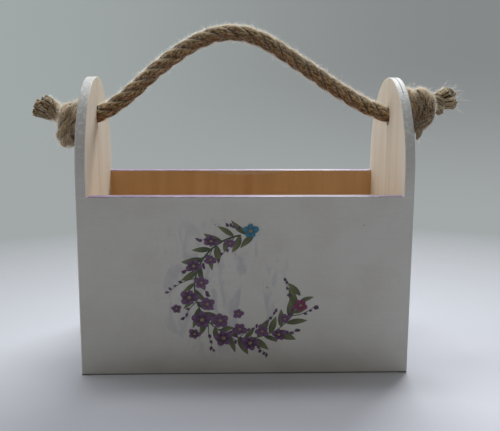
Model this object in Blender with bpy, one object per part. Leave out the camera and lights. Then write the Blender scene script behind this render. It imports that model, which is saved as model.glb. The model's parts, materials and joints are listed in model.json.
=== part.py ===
"""Open wooden storage box with half-round end panels and a knotted rope handle.

Metres, +Z up. The origin is on the surface that the box stands on, below the middle of the box, and
the front faces -Y. The front and back panels stand between the end panels, the base lies between
all four, and hidden panel pins hold the joints. The rope goes through a hole in each end panel and
is held by an overhand knot outside it.
"""
import math

import bmesh
import bpy
from mathutils import Matrix, Vector

MM = 0.001

# Box
BOX_WIDTH = 260.0 * MM
BOX_DEPTH = 151.0 * MM
SIDE_HEIGHT = 144.0 * MM
RIM_TO_SPRING = 12.5 * MM
END_THICKNESS = 8.0 * MM
SIDE_THICKNESS = 8.0 * MM
BASE_THICKNESS = 6.0 * MM
ARRIS = 0.8 * MM
ARRIS_STEPS = 2
GLUE_LINE = 0.05 * MM
ARC_STEPS = 48
SHARP_ANGLE = 35

# Rope and the holes that it goes through
ROPE_DIAMETER = 13.5 * MM
ROPE_CLEARANCE = 1.25 * MM
HOLE_BELOW_TOP = 32.0 * MM
HOLE_CHAMFER = 0.5 * MM
HOLE_SIDES = 40
LEFT_KNOT_DIAMETER = 9.9 * MM
RIGHT_KNOT_DIAMETER = 11.2 * MM
FRAYED_DIAMETER = 19.0 * MM
DRAWN_IN_AT_HOLE = 0.95
TAIL_SWELL = (0.85, 1.0, 1.15)
KNOT_GAP = 0.4 * MM
NEAR_ALONG = 1.5
ARCH_STEP = 8.0 * MM
KNOT_STEP = 3.0 * MM

# Panel pins
PIN_DIAMETER = 1.3 * MM
PIN_HEAD_DIAMETER = 2.1 * MM
PIN_HEAD_THICKNESS = 1.0 * MM
PIN_LENGTH = 25.0 * MM
PIN_SET = 1.5 * MM
PIN_CLEARANCE = 0.3 * MM
PIN_FROM_END = 22.0 * MM
PIN_SIDES = 8
CORNER_PIN_COUNT = 3
END_PIN_COUNT = 3
SIDE_PIN_COUNT = 4

# Worked out from the sizes above
INNER_X = BOX_WIDTH / 2 - END_THICKNESS
INNER_Y = BOX_DEPTH / 2 - SIDE_THICKNESS
ARCH_RADIUS = BOX_DEPTH / 2
SPRING_HEIGHT = SIDE_HEIGHT + RIM_TO_SPRING
HOLE_HEIGHT = SPRING_HEIGHT + ARCH_RADIUS - HOLE_BELOW_TOP
HOLE_RADIUS = ROPE_DIAMETER / 2 + ROPE_CLEARANCE
ENDS = (("left", -1), ("right", 1))
FACES = (("front", -1), ("back", 1))

# The rope's route, in millimetres. An arch point is how far along the gap between the end panels it
# lies, from 0 at the left to 1 at the right, and how far it rises over the middle of the holes.
ARCH = (
    (0.000, 0.7), (0.032, 4.7), (0.086, 13.4), (0.143, 25.2), (0.197, 37.0), (0.254, 47.4),
    (0.307, 56.3), (0.361, 63.0), (0.418, 67.4), (0.467, 68.2), (0.525, 65.9), (0.578, 60.6),
    (0.633, 52.6), (0.689, 43.8), (0.744, 35.0), (0.799, 26.0), (0.857, 17.2), (0.914, 9.3),
    (0.963, 4.2), (1.000, 0.8),
)

# A knot point is how far it lies outside the panel, behind the middle of the hole and above it.
LEFT_KNOT = (
    (-3.0, 0.0, 0.0), (3.0, -1.0, 0.5), (8.0, -3.0, 0.0), (12.5, -4.5, 2.5), (16.0, -9.5, 5.5),
    (18.5, -14.5, 3.5), (20.5, -17.5, -2.5), (21.5, -17.5, -9.5), (21.5, -13.5, -16.0),
    (20.0, -7.5, -19.5), (18.0, -1.0, -19.5), (15.5, 4.0, -16.0), (13.5, 7.0, -10.0),
    (12.0, 9.5, -4.0), (10.5, 10.5, 2.0), (8.0, 8.0, 8.0), (5.6, 2.0, 11.5), (5.3, -4.5, 12.0),
    (5.3, -11.0, 9.5), (6.5, -15.5, 4.0), (9.0, -17.0, -3.0), (12.0, -13.5, -8.0),
    (15.0, -8.0, -8.5), (19.0, -4.0, -6.5), (25.5, 1.0, -1.5),
)
LEFT_TAIL = ((30.5, 3.0, 1.5), (34.5, 3.5, 4.5), (38.0, 3.5, 8.0), (41.0, 3.0, 10.5))
RIGHT_KNOT = (
    (-3.0, 0.0, 0.0), (3.5, -1.0, 3.5), (8.5, -2.5, 9.5), (13.5, -3.0, 13.5), (17.5, -8.0, 16.5),
    (21.5, -14.0, 16.5), (24.5, -19.0, 12.0), (26.0, -21.0, 5.0), (26.0, -18.5, -2.5),
    (24.5, -13.0, -7.0), (22.0, -6.0, -9.0), (18.5, 0.5, -6.5), (16.5, 5.5, -1.5),
    (13.5, 10.0, 3.5), (11.5, 13.0, 9.5), (9.0, 12.0, 17.0), (6.8, 6.0, 22.0), (6.1, -1.0, 23.0),
    (6.1, -8.5, 22.0), (7.8, -15.0, 19.0), (10.0, -18.0, 13.0), (14.0, -16.0, 6.0),
    (18.0, -10.5, 4.0), (23.0, -5.5, 4.5), (28.5, 1.5, 7.0),
)
RIGHT_TAIL = ((33.0, 4.0, 10.5), (37.5, 4.5, 13.5), (42.0, 4.0, 15.5), (46.0, 3.0, 16.5))


def linear(hex_colour):
    """Turn an sRGB hex colour into the linear values that a shader takes."""
    channels = [int(hex_colour[i:i + 2], 16) / 255 for i in (1, 3, 5)]
    return [c / 12.92 if c <= 0.04045 else ((c + 0.055) / 1.055) ** 2.4 for c in channels] + [1.0]


def finish(name, hex_colour, roughness, metallic=0.0):
    """A Principled material."""
    material = bpy.data.materials.new(name)
    material.use_nodes = True
    shader = material.node_tree.nodes["Principled BSDF"]
    shader.inputs["Base Color"].default_value = linear(hex_colour)
    shader.inputs["Roughness"].default_value = roughness
    shader.inputs["Metallic"].default_value = metallic
    return material


def new_mesh(name, bm):
    """Turn the bmesh into a mesh that is smooth but for its edges."""
    bmesh.ops.recalc_face_normals(bm, faces=bm.faces)
    mesh = bpy.data.meshes.new(name)
    bm.to_mesh(mesh)
    bm.free()
    mesh.shade_smooth()
    mesh.set_sharp_from_angle(angle=math.radians(SHARP_ANGLE))
    return mesh


def add_object(name, bm):
    """Turn the bmesh into a named object in the scene."""
    obj = bpy.data.objects.new(name, new_mesh(name, bm))
    bpy.context.scene.collection.objects.link(obj)
    return obj


def add_cutter(name, bm):
    """Turn the bmesh into an object that only cuts others."""
    obj = add_object(name, bm)
    obj.hide_render = True
    obj.display_type = "WIRE"
    return obj


def cut(obj, cutter):
    """Take the cutter's shape out of the object."""
    modifier = obj.modifiers.new(cutter.name, "BOOLEAN")
    modifier.operation = "DIFFERENCE"
    modifier.solver = "EXACT"
    modifier.object = cutter


def turn(bm, profile, sides, start, direction):
    """Add a turned solid whose axis runs from start along direction.

    The profile lists radius and distance along the axis, from the flat end at start to the far one.
    """
    lie = Matrix.Translation(start) @ direction.to_track_quat("Z", "Y").to_matrix().to_4x4()
    rings = []
    for radius, along in profile:
        ring = []
        for i in range(sides):
            angle = 2 * math.pi * i / sides
            corner = Vector((radius * math.cos(angle), radius * math.sin(angle), along))
            ring.append(bm.verts.new(lie @ corner))
        rings.append(ring)
    for ring, following in zip(rings, rings[1:]):
        for i in range(sides):
            j = (i + 1) % sides
            bm.faces.new((ring[i], ring[j], following[j], following[i]))
    bm.faces.new(reversed(rings[0]))
    bm.faces.new(rings[-1])


def spread(low, high, count):
    """Places along a joint, with the outer two set in from its ends."""
    first = low + PIN_FROM_END
    last = high - PIN_FROM_END
    return [first + (last - first) * i / (count - 1) for i in range(count)]


def pin_rows():
    """Each row of pins: its name, the way the pins are driven, and where each one is driven in."""
    rows = []
    mid_side = BOX_DEPTH / 2 - SIDE_THICKNESS / 2
    mid_base = BASE_THICKNESS / 2
    for end, x_sign in ENDS:
        outer_x = x_sign * BOX_WIDTH / 2
        inward = Vector((-x_sign, 0, 0))
        for face, y_sign in FACES:
            heights = spread(0, SIDE_HEIGHT, CORNER_PIN_COUNT)
            places = [Vector((outer_x, y_sign * mid_side, z)) for z in heights]
            rows.append((f"{end}_{face}_pin", inward, places))
        depths = spread(-INNER_Y, INNER_Y, END_PIN_COUNT)
        places = [Vector((outer_x, y, mid_base)) for y in depths]
        rows.append((f"{end}_base_pin", inward, places))
    for face, y_sign in FACES:
        inward = Vector((0, -y_sign, 0))
        widths = spread(-INNER_X, INNER_X, SIDE_PIN_COUNT)
        places = [Vector((x, y_sign * BOX_DEPTH / 2, mid_base)) for x in widths]
        rows.append((f"{face}_base_pin", inward, places))
    return rows


def pin_mesh():
    """A panel pin driven along +Z: a flat head set below the surface, and a shank."""
    head = PIN_HEAD_DIAMETER / 2
    shank = PIN_DIAMETER / 2
    neck = PIN_SET + PIN_HEAD_THICKNESS
    profile = (
        (head, PIN_SET),
        (head, neck),
        (shank, neck),
        (shank, PIN_SET + PIN_LENGTH),
    )
    bm = bmesh.new()
    turn(bm, profile, PIN_SIDES, Vector(), Vector((0, 0, 1)))
    return new_mesh("panel_pin", bm)


def add_pins(rows):
    """Each pin as an object of its own. They all share one mesh."""
    mesh = pin_mesh()
    mesh.materials.append(finish("bright_steel", "#8d8f92", 0.35, 1.0))
    for name, inward, places in rows:
        for number, place in enumerate(places, 1):
            pin = bpy.data.objects.new(f"{name}_{number}", mesh)
            pin.location = place
            pin.rotation_mode = "QUATERNION"
            pin.rotation_quaternion = inward.to_track_quat("Z", "Y")
            bpy.context.scene.collection.objects.link(pin)


def pin_hole_cutter(rows):
    """The blind holes that the pins lie in, one for each pin."""
    head = PIN_HEAD_DIAMETER / 2 + PIN_CLEARANCE
    shank = PIN_DIAMETER / 2 + PIN_CLEARANCE
    neck = PIN_SET + PIN_HEAD_THICKNESS + PIN_CLEARANCE
    profile = (
        (head, PIN_SET - PIN_CLEARANCE),
        (head, neck),
        (shank, neck),
        (shank, PIN_SET + PIN_LENGTH + PIN_CLEARANCE),
    )
    bm = bmesh.new()
    for _, inward, places in rows:
        for place in places:
            turn(bm, profile, PIN_SIDES, place, inward)
    return add_cutter("pin_holes", bm)


def rope_hole_cutter():
    """The rope's hole through each end panel, chamfered where it opens."""
    bm = bmesh.new()
    mouth = HOLE_RADIUS + HOLE_CHAMFER
    flare = HOLE_RADIUS + 2 * HOLE_CHAMFER
    for _, x_sign in ENDS:
        profile = (
            (flare, -HOLE_CHAMFER),
            (mouth, 0.0),
            (HOLE_RADIUS, HOLE_CHAMFER),
            (HOLE_RADIUS, END_THICKNESS - HOLE_CHAMFER),
            (mouth, END_THICKNESS),
            (flare, END_THICKNESS + HOLE_CHAMFER),
        )
        start = Vector((x_sign * INNER_X, 0, HOLE_HEIGHT))
        turn(bm, profile, HOLE_SIDES, start, Vector((x_sign, 0, 0)))
    return add_cutter("rope_holes", bm)


def round_edges(bm, wanted):
    """Round the edges whose two ends and middle satisfy the test."""
    edges = [edge for edge in bm.edges if wanted(edge)]
    bmesh.ops.bevel(
        bm, geom=edges, offset=ARRIS, segments=ARRIS_STEPS, profile=0.5, affect="EDGES"
    )


def end_panel(end, x_sign):
    """An upright board with a half-round top."""
    outline = [(-ARCH_RADIUS, 0.0), (-ARCH_RADIUS, SIDE_HEIGHT)]
    for i in range(ARC_STEPS + 1):
        angle = math.pi * (1 - i / ARC_STEPS)
        outline.append((ARCH_RADIUS * math.cos(angle), SPRING_HEIGHT + ARCH_RADIUS * math.sin(angle)))
    outline += [(ARCH_RADIUS, SIDE_HEIGHT), (ARCH_RADIUS, 0.0)]
    outer_x = x_sign * BOX_WIDTH / 2
    inner_x = x_sign * INNER_X
    bm = bmesh.new()
    face = bm.faces.new([bm.verts.new((outer_x, y, z)) for y, z in outline])
    moved = bmesh.ops.extrude_face_region(bm, geom=[face])["geom"]
    corners = [item for item in moved if isinstance(item, bmesh.types.BMVert)]
    bmesh.ops.translate(bm, verts=corners, vec=(inner_x - outer_x, 0, 0))

    def is_open(edge):
        """The panel's arris, but not where the front or back panel meets it."""
        low, high = sorted(corner.co.z for corner in edge.verts)
        if abs(edge.verts[0].co.x - edge.verts[1].co.x) > ARRIS:
            return False
        if high < ARRIS:
            return False
        return abs(edge.verts[0].co.x - outer_x) < ARRIS or low > SIDE_HEIGHT - ARRIS

    round_edges(bm, is_open)
    panel = add_object(f"{end}_end_panel", bm)
    panel.data.materials.append(finish(panel.name + "_paint", "#c9cac8", 0.5))
    return panel


def board(name, low, high, is_open):
    """A straight board between two corners, with its open edges rounded."""
    bm = bmesh.new()
    bmesh.ops.create_cube(bm, size=1.0)
    size = [b - a for a, b in zip(low, high)]
    middle = [(a + b) / 2 for a, b in zip(low, high)]
    bmesh.ops.scale(bm, vec=size, verts=bm.verts)
    bmesh.ops.translate(bm, vec=middle, verts=bm.verts)
    if is_open is not None:
        round_edges(bm, is_open)
    return add_object(name, bm)


def side_panel(face, y_sign):
    """The front or back panel, which stands between the end panels."""
    half_length = INNER_X - GLUE_LINE
    faces_y = sorted((y_sign * BOX_DEPTH / 2, y_sign * INNER_Y))

    def is_open(edge):
        """The two long edges at the rim and the one at the outer foot."""
        ends = [corner.co for corner in edge.verts]
        along = abs(ends[0].x - ends[1].x) > half_length
        at_rim = ends[0].z > SIDE_HEIGHT / 2
        outer = abs(ends[0].y) > (BOX_DEPTH / 2 + INNER_Y) / 2
        return along and (at_rim or outer)

    panel = board(
        f"{face}_panel",
        (-half_length, faces_y[0], 0.0),
        (half_length, faces_y[1], SIDE_HEIGHT),
        is_open,
    )
    panel.data.materials.append(finish(panel.name + "_paint", "#c9cac8", 0.5))
    return panel


def base_panel():
    """The base, let in between the four panels and level with their feet."""
    half_length = INNER_X - GLUE_LINE
    half_depth = INNER_Y - GLUE_LINE
    panel = board(
        "base_panel",
        (-half_length, -half_depth, 0.0),
        (half_length, half_depth, BASE_THICKNESS),
        None,
    )
    panel.data.materials.append(finish("bare_plywood", "#a98f74", 0.7))
    return panel


def knot_places(points, x_sign):
    """A knot's points, measured from the middle of the holes' axis."""
    outer_x = BOX_WIDTH / 2
    return [Vector((x_sign * (outer_x + out * MM), back * MM, up * MM)) for out, back, up in points]


def rope_route():
    """The rope's points from the left tail to the right one, each with its diameter and step."""
    left = knot_places(LEFT_KNOT, -1)
    right = knot_places(RIGHT_KNOT, 1)
    left_tail = knot_places(LEFT_TAIL, -1)
    right_tail = knot_places(RIGHT_TAIL, 1)
    arch = [Vector((INNER_X * (2 * along - 1), 0, rise * MM)) for along, rise in ARCH]
    swell = [ROPE_DIAMETER * share for share in TAIL_SWELL] + [FRAYED_DIAMETER]
    at_hole = ROPE_DIAMETER * DRAWN_IN_AT_HOLE
    route = []
    route += list(zip(reversed(left_tail), reversed(swell)))
    route += [(place, LEFT_KNOT_DIAMETER) for place in reversed(left[1:])]
    route += [(left[0], at_hole)]
    route += [(place, ROPE_DIAMETER) for place in arch]
    route += [(right[0], at_hole)]
    route += [(place, RIGHT_KNOT_DIAMETER) for place in right[1:]]
    route += list(zip(right_tail, swell))
    return route


def smooth_curve(route):
    """Points along a smooth curve through the route, close together in the knots."""
    places = [place for place, _ in route]
    widths = [width for _, width in route]
    chords = [(b - a).length for a, b in zip(places, places[1:])]
    slopes = [(places[1] - places[0]) / chords[0]]
    for i in range(1, len(places) - 1):
        before = (places[i] - places[i - 1]) / chords[i - 1]
        after = (places[i + 1] - places[i]) / chords[i]
        slopes.append((before * chords[i] + after * chords[i - 1]) / (chords[i - 1] + chords[i]))
    slopes.append((places[-1] - places[-2]) / chords[-1])
    result = [(places[0], widths[0])]
    for i, chord in enumerate(chords):
        over_box = abs(places[i].x) <= INNER_X and abs(places[i + 1].x) <= INNER_X
        steps = max(1, round(chord / (ARCH_STEP if over_box else KNOT_STEP)))
        for k in range(1, steps + 1):
            t = k / steps
            place = (
                places[i] * (2 * t**3 - 3 * t**2 + 1)
                + slopes[i] * chord * (t**3 - 2 * t**2 + t)
                + places[i + 1] * (3 * t**2 - 2 * t**3)
                + slopes[i + 1] * chord * (t**3 - t**2)
            )
            result.append((place, widths[i] + (widths[i + 1] - widths[i]) * t))
    return result


def least_gap(curve):
    """The smallest distance from the rope's surface to itself, NEAR_ALONG widths or more along."""
    travelled = [0.0]
    for (a, _), (b, _) in zip(curve, curve[1:]):
        travelled.append(travelled[-1] + (b - a).length)
    least = ROPE_DIAMETER
    for i, (a, width_a) in enumerate(curve):
        for j in range(i + 1, len(curve)):
            b, width_b = curve[j]
            width = (width_a + width_b) / 2
            if travelled[j] - travelled[i] > NEAR_ALONG * width:
                least = min(least, (b - a).length - width)
    return least, travelled[-1]


def rope_handle():
    """The rope, one tube with a knot near each end, turning about the line through both holes."""
    axis = bpy.data.objects.new("handle_axis", None)
    axis.location = (0, 0, HOLE_HEIGHT)
    bpy.context.scene.collection.objects.link(axis)
    curve = smooth_curve(rope_route())
    gap, length = least_gap(curve)
    print(f"rope: {len(curve)} points, {length / MM:.0f} mm, least gap to itself {gap / MM:.2f} mm")
    if gap < KNOT_GAP:
        print(f"rope: the knots leave less than {KNOT_GAP / MM:.1f} mm")
    data = bpy.data.curves.new("rope_handle", "CURVE")
    data.dimensions = "3D"
    data.bevel_depth = ROPE_DIAMETER / 2
    data.bevel_resolution = 4
    data.use_fill_caps = True
    spline = data.splines.new("POLY")
    spline.points.add(len(curve) - 1)
    for point, (place, width) in zip(spline.points, curve):
        point.co = (place.x, place.y, place.z, 1.0)
        point.radius = width / ROPE_DIAMETER
    rope = bpy.data.objects.new("rope_handle", data)
    bpy.context.scene.collection.objects.link(rope)
    rope.parent = axis
    data.materials.append(finish("jute", "#7d6a52", 0.9))


def main():
    for obj in list(bpy.data.objects):
        bpy.data.objects.remove(obj, do_unlink=True)
    rows = pin_rows()
    pin_holes = pin_hole_cutter(rows)
    rope_holes = rope_hole_cutter()
    for end, x_sign in ENDS:
        panel = end_panel(end, x_sign)
        cut(panel, pin_holes)
        cut(panel, rope_holes)
    for face, y_sign in FACES:
        cut(side_panel(face, y_sign), pin_holes)
    cut(base_panel(), pin_holes)
    add_pins(rows)
    rope_handle()


main()
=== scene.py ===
"""Looks of an open wooden box with half-round end panels and a knotted rope handle.

Metres, +Z up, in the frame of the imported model: the origin is below the middle of the box, on the
surface that it stands on, and the front faces -Y. Each operator dresses or builds one group of
pieces, and the panel in the sidebar lists them with the sizes and colours that they use.
"""
import json
import math
import random
from collections import namedtuple
from itertools import count

import bpy
import numpy as np
from bpy.props import FloatProperty, FloatVectorProperty, IntProperty, PointerProperty
from mathutils import Matrix, Vector, noise


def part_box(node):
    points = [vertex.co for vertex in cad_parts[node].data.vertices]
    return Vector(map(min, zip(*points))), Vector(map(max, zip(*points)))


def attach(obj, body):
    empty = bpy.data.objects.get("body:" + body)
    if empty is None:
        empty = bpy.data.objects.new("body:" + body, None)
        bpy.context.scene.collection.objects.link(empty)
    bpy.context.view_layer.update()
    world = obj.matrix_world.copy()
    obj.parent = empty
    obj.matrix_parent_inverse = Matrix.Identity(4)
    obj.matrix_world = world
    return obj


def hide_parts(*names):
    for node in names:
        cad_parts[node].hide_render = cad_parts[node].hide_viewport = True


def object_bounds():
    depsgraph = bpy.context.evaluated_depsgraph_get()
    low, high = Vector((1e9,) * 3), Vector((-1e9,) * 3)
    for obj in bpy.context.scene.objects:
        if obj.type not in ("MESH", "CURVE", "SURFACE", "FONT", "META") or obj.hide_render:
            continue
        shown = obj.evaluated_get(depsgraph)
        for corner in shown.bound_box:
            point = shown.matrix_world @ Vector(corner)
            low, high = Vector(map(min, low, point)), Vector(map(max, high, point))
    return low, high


bl_info = {
    "name": "Rope-handled box",
    "version": (1, 0, 0),
    "blender": (4, 5, 0),
    "location": "View3D > Sidebar > Box",
    "description": "Dresses a painted plywood box and lays its jute rope handle",
    "category": "Object",
}

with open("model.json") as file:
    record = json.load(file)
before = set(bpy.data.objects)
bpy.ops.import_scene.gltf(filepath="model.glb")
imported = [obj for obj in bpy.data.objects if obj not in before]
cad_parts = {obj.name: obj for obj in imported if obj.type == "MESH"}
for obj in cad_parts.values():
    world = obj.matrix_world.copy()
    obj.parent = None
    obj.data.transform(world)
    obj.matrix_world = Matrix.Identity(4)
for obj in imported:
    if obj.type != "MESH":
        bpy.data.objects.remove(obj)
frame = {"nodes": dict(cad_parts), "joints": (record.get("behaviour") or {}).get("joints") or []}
CAD_LOW, CAD_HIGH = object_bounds()

MM = 0.001

# Faces of the box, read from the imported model
END_LOW, END_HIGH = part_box("right_end_panel")
SIDE_LOW, SIDE_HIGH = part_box("front_panel")
INNER_X = END_LOW.x
OUTER_X = END_HIGH.x
FRONT_Y = SIDE_LOW.y
INNER_Y = -SIDE_HIGH.y
RIM_Z = SIDE_HIGH.z
TOP_Z = END_HIGH.z
HINGE = Vector(frame["joints"][0]["pos_m"])
HOLE_RADIUS = 8 * MM
MID_WALL_X = (INNER_X + OUTER_X) / 2

# The rope's route, in millimetres. An arch point is how far along the gap between the end panels it
# lies, from 0 at the left to 1 at the right, and how far it rises over the middle of the holes.
ARCH = (
    (0.000, 0.7), (0.032, 4.7), (0.086, 13.4), (0.143, 25.2), (0.197, 37.0), (0.254, 47.4),
    (0.307, 56.3), (0.361, 63.0), (0.418, 67.4), (0.467, 68.2), (0.525, 65.9), (0.578, 60.6),
    (0.633, 52.6), (0.689, 43.8), (0.744, 35.0), (0.799, 26.0), (0.857, 17.2), (0.914, 9.3),
    (0.963, 4.2), (1.000, 0.8),
)

# A knot point is how far it lies outside the panel, behind the middle of the hole and above it.
LEFT_KNOT = (
    (-3.0, 0.0, 0.0), (3.0, -1.0, 0.5), (7.0, -3.0, 0.0), (10.5, -4.5, 2.5), (13.5, -9.5, 5.5),
    (15.2, -14.5, 3.0), (15.8, -17.5, -3.0), (17.3, -17.5, -10.0), (18.6, -13.5, -16.3),
    (17.5, -7.5, -20.3), (15.0, -1.0, -20.3), (12.5, 4.0, -16.5), (11.0, 7.0, -10.0),
    (10.0, 9.5, -4.0), (9.0, 10.5, 1.0), (7.2, 8.0, 5.0), (5.9, 2.0, 7.0), (5.7, -4.5, 7.4),
    (5.7, -11.0, 6.0), (6.5, -15.5, 2.0), (8.0, -17.0, -4.0), (10.5, -13.5, -8.0),
    (13.0, -8.0, -8.0), (17.0, -4.0, -6.5), (22.5, 0.5, -0.5),
)
LEFT_TAIL = ((28.5, 2.8, 2.8), (33.5, 3.5, 5.6), (38.5, 3.5, 8.4), (44.5, 3.0, 11.2))
LEFT_TAIL_WIDTHS = (17.5, 19.5, 21.8, 24.5)
RIGHT_KNOT = (
    (-3.0, 0.0, 0.0), (3.2, -1.0, 3.0), (7.2, -2.5, 8.0), (11.2, -3.0, 13.0), (14.5, -8.0, 17.3),
    (17.8, -14.0, 17.8), (20.3, -19.0, 13.8), (21.2, -21.0, 7.5), (20.2, -18.5, 0.5),
    (17.8, -13.0, -4.5), (15.2, -6.0, -7.5), (13.0, 0.5, -7.5), (11.8, 6.0, -3.0),
    (10.8, 10.5, 2.5), (10.0, 13.0, 8.0), (8.2, 12.0, 13.0), (6.8, 6.0, 16.5), (6.3, -1.0, 17.2),
    (6.5, -8.5, 17.0), (8.2, -15.5, 15.0), (10.8, -19.5, 9.5), (13.3, -17.5, 3.0),
    (15.5, -11.0, 1.5), (19.0, -5.5, 3.5), (23.5, 0.0, 7.0),
)
RIGHT_TAIL = ((29.0, 3.0, 9.8), (35.0, 4.0, 12.0), (42.5, 4.0, 14.4), (50.5, 3.0, 16.6))
RIGHT_TAIL_WIDTHS = (13.8, 15.6, 19.5, 25.0)
DRAWN_IN_AT_HOLE = 0.95
STATION_STEP = 1.5 * MM

Station = namedtuple("Station", "place width along ahead side turned")


def linear(hex_colour):
    """An sRGB hex colour as the linear values that a shader takes."""
    channels = [int(hex_colour[i:i + 2], 16) / 255 for i in (1, 3, 5)]
    return (*(c / 12.92 if c <= 0.04045 else ((c + 0.055) / 1.055) ** 2.4 for c in channels), 1.0)


def length(name, description, default, low=0.0, high=1.0):
    """A size in metres that a user can change."""
    return FloatProperty(
        name=name, description=description, default=default, min=low, max=high,
        unit="LENGTH", subtype="DISTANCE", precision=5,
    )


def level(name, description, default, low=0.0, **more):
    """A level of light, a power or another plain number that a user can change."""
    return FloatProperty(name=name, description=description, default=default, min=low, **more)


def colour(name, description, hex_colour):
    """A colour that a user can change."""
    return FloatVectorProperty(
        name=name, description=description, default=linear(hex_colour), size=4,
        min=0.0, max=1.0, subtype="COLOR",
    )


class PaintSettings(bpy.types.PropertyGroup):
    """Paint on the outside of the box."""
    wall: colour("Walls", "Off-white acrylic on the outside of the panels", "#cfcfcb")
    worn: colour("Worn paint", "Where the paint is thin over the wood", "#c1bdb6")
    fresh: colour("Thick paint", "Where the brush left more paint", "#e9f1f3")
    chip: colour("Filler", "Bare filler in the corners of the rim", "#e6dedd")
    # Painted shade that greys the foot of the panels, strongest in the middle of the front and back
    foot_shade: colour("Dust", "Dust on the foot of the panels", "#8f8b85")
    grime: colour("Grime", "Dirt along the lower edges and in small specks", "#4b4844")
    wash: colour("Wash", "Thin grey-lilac paint round the print", "#a39fae")
    rim: colour("Rim", "Lilac acrylic on the top edges of the front and back panels", "#a48bad")
    # Pale lilac: rubbed-back spots on the rim, and the painted highlight that runs along it right of
    # the middle
    rim_rubbed_and_highlight: colour("Rim highlights", "Where the lilac is rubbed back", "#ddd3e0")
    core: colour("Core veneer", "Dark veneer that shows through the paint of the round edge", "#5d5e62")
    brush_mark: length("Brush marks", "Distance between two bristle marks", 0.9 * MM)
    overlap: length("Overlap", "How far the paint runs over an inner edge", 0.7 * MM)


class WoodSettings(bpy.types.PropertyGroup):
    """Bare wood inside the box."""
    end_pale: colour("End panels, pale", "Early wood of the birch faces", "#eee6d6")
    end_dark: colour("End panels, dark", "Late wood of the birch faces", "#dfd1bc")
    # Darker and warmer than the end panels: partly another wood, partly painted shade for the shaded
    # inside of the front and back
    side_pale_and_shade: colour("Side panels, pale", "Early wood of the pine faces", "#d4b186")
    side_dark_and_shade: colour("Side panels, dark", "Late wood of the pine faces", "#c1986a")
    base_pale: colour("Base, pale", "Early wood of the base", "#e0c49c")
    base_dark: colour("Base, dark", "Late wood of the base", "#c8a47a")
    fibre: length("Fibre streaks", "Width of one streak of fibres", 0.8 * MM)
    figure: length("Figure", "Width of one band of growth", 16.0 * MM)


class RopeSettings(bpy.types.PropertyGroup):
    """Three-strand jute rope."""
    diameter: length("Diameter", "Across the rope where it is free", 13.5 * MM)
    left_knot: length("Left knot", "Across the rope where the left knot is drawn tight", 12.0 * MM)
    right_knot: length("Right knot", "Across the rope where the right knot is drawn tight", 12.8 * MM)
    frayed: length("Frayed end", "Across the right cut end, where the strands open", 25.0 * MM)
    lay: length("Lay", "Length in which a strand goes once round the free rope", 42.0 * MM)
    straw: colour("Straw", "Palest fibres", "#d0a872")
    olive: colour("Olive", "Greenish fibres", "#917d45")
    brown: colour("Brown", "Darkest fibres", "#643a2b")
    # Pale fibres, also the painted highlight on the rope's upper side, knots and cut ends
    pale_fleck_and_highlight: colour("Bleached", "Upper side of the rope, which light has bleached", "#f6e3bd")
    # Painted shade in the grooves and where the strands and the knot's turns meet
    crevice_shade: colour("Crevices", "Dust and dark fibres between the strands", "#4c2c1b")
    sheen: colour("Sheen", "Light that grazes the dry fibres", "#f4ecdc")
    fuzz: colour("Fuzz", "Loose fibres that stand off the rope", "#f0dcb4")
    fuzz_count: IntProperty(
        name="Fuzz fibres", description="Loose fibres on the rope", default=26000, min=0,
    )


class FlowerSettings(bpy.types.PropertyGroup):
    """Flower print on the front panel."""
    violet: colour("Violet", "Darker blossoms", "#402843")
    mauve: colour("Mauve", "Paler blossoms", "#644567")
    leaf: colour("Leaves", "Olive leaves", "#5c6240")
    shade_leaf: colour("Shaded leaves", "Dark green leaves and stems", "#3f4d34")
    teal: colour("Teal", "One blossom near the top", "#2c6d86")
    magenta: colour("Magenta", "One blossom at the right", "#742a52")
    tan: colour("Tan", "Middles of the blossoms and the berries", "#9a8260")
    paper: length("Paper", "Thickness of the print", 0.06 * MM)
    middle_x: length("Middle, across", "Middle of the garland off the panel's middle", 2.0 * MM, -0.1)
    middle_z: length("Middle, up", "Height of the middle of the garland", 72.0 * MM)
    radius: length("Radius", "Radius of the garland's main stem", 42.0 * MM)


class StageSettings(bpy.types.PropertyGroup):
    """Floor, lamps and camera."""
    floor: colour("Floor", "Pale grey paper", "#dedfe7")
    floor_fibre: colour("Floor fibres", "Slightly darker fibres in the paper", "#cfd0d8")
    backdrop_left: colour("Backdrop, left", "What lies behind on the left", "#a1a9a8")
    backdrop_right: colour("Backdrop, right", "What lies behind on the right", "#868989")
    backdrop_low: colour("Backdrop, low", "What lies behind near the floor", "#a2a7a8")
    front_tint: colour("Front tint", "Colour of the light from the front", "#fffaf2")
    back_tint: colour("Back tint", "Colour of the light from behind and above", "#f0f7ff")
    lamp_tint: colour("Lamp tint", "Colour of the lamps", "#fbfdff")
    front_level: level("Front light", "Level of the light from the front", 0.288)
    back_level: level("Back light", "Level of the light from behind", 0.615)
    top_level: level("High front light", "Level of the light from high in front", 0.05)
    window_power: level("Window", "Power of the large lamp behind the box", 44.5, unit="POWER")
    ceiling_power: level("Ceiling", "Power of the lamp above and behind the box", 8.8, unit="POWER")
    focal_length: level("Focal length", "Camera lens in millimetres", 59.2, 1.0)


MIX = "ShaderNodeMix"
MATH = "ShaderNodeMath"
RANGE = "ShaderNodeMapRange"
COLOUR = {"data_type": "RGBA"}
EASED = {"interpolation_type": "SMOOTHSTEP"}
TIMES = {"operation": "MULTIPLY"}
TIMES_PLUS = {"operation": "MULTIPLY_ADD"}
LARGER = {"operation": "MAXIMUM"}
EVEN = (1, 1, 1)


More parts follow.
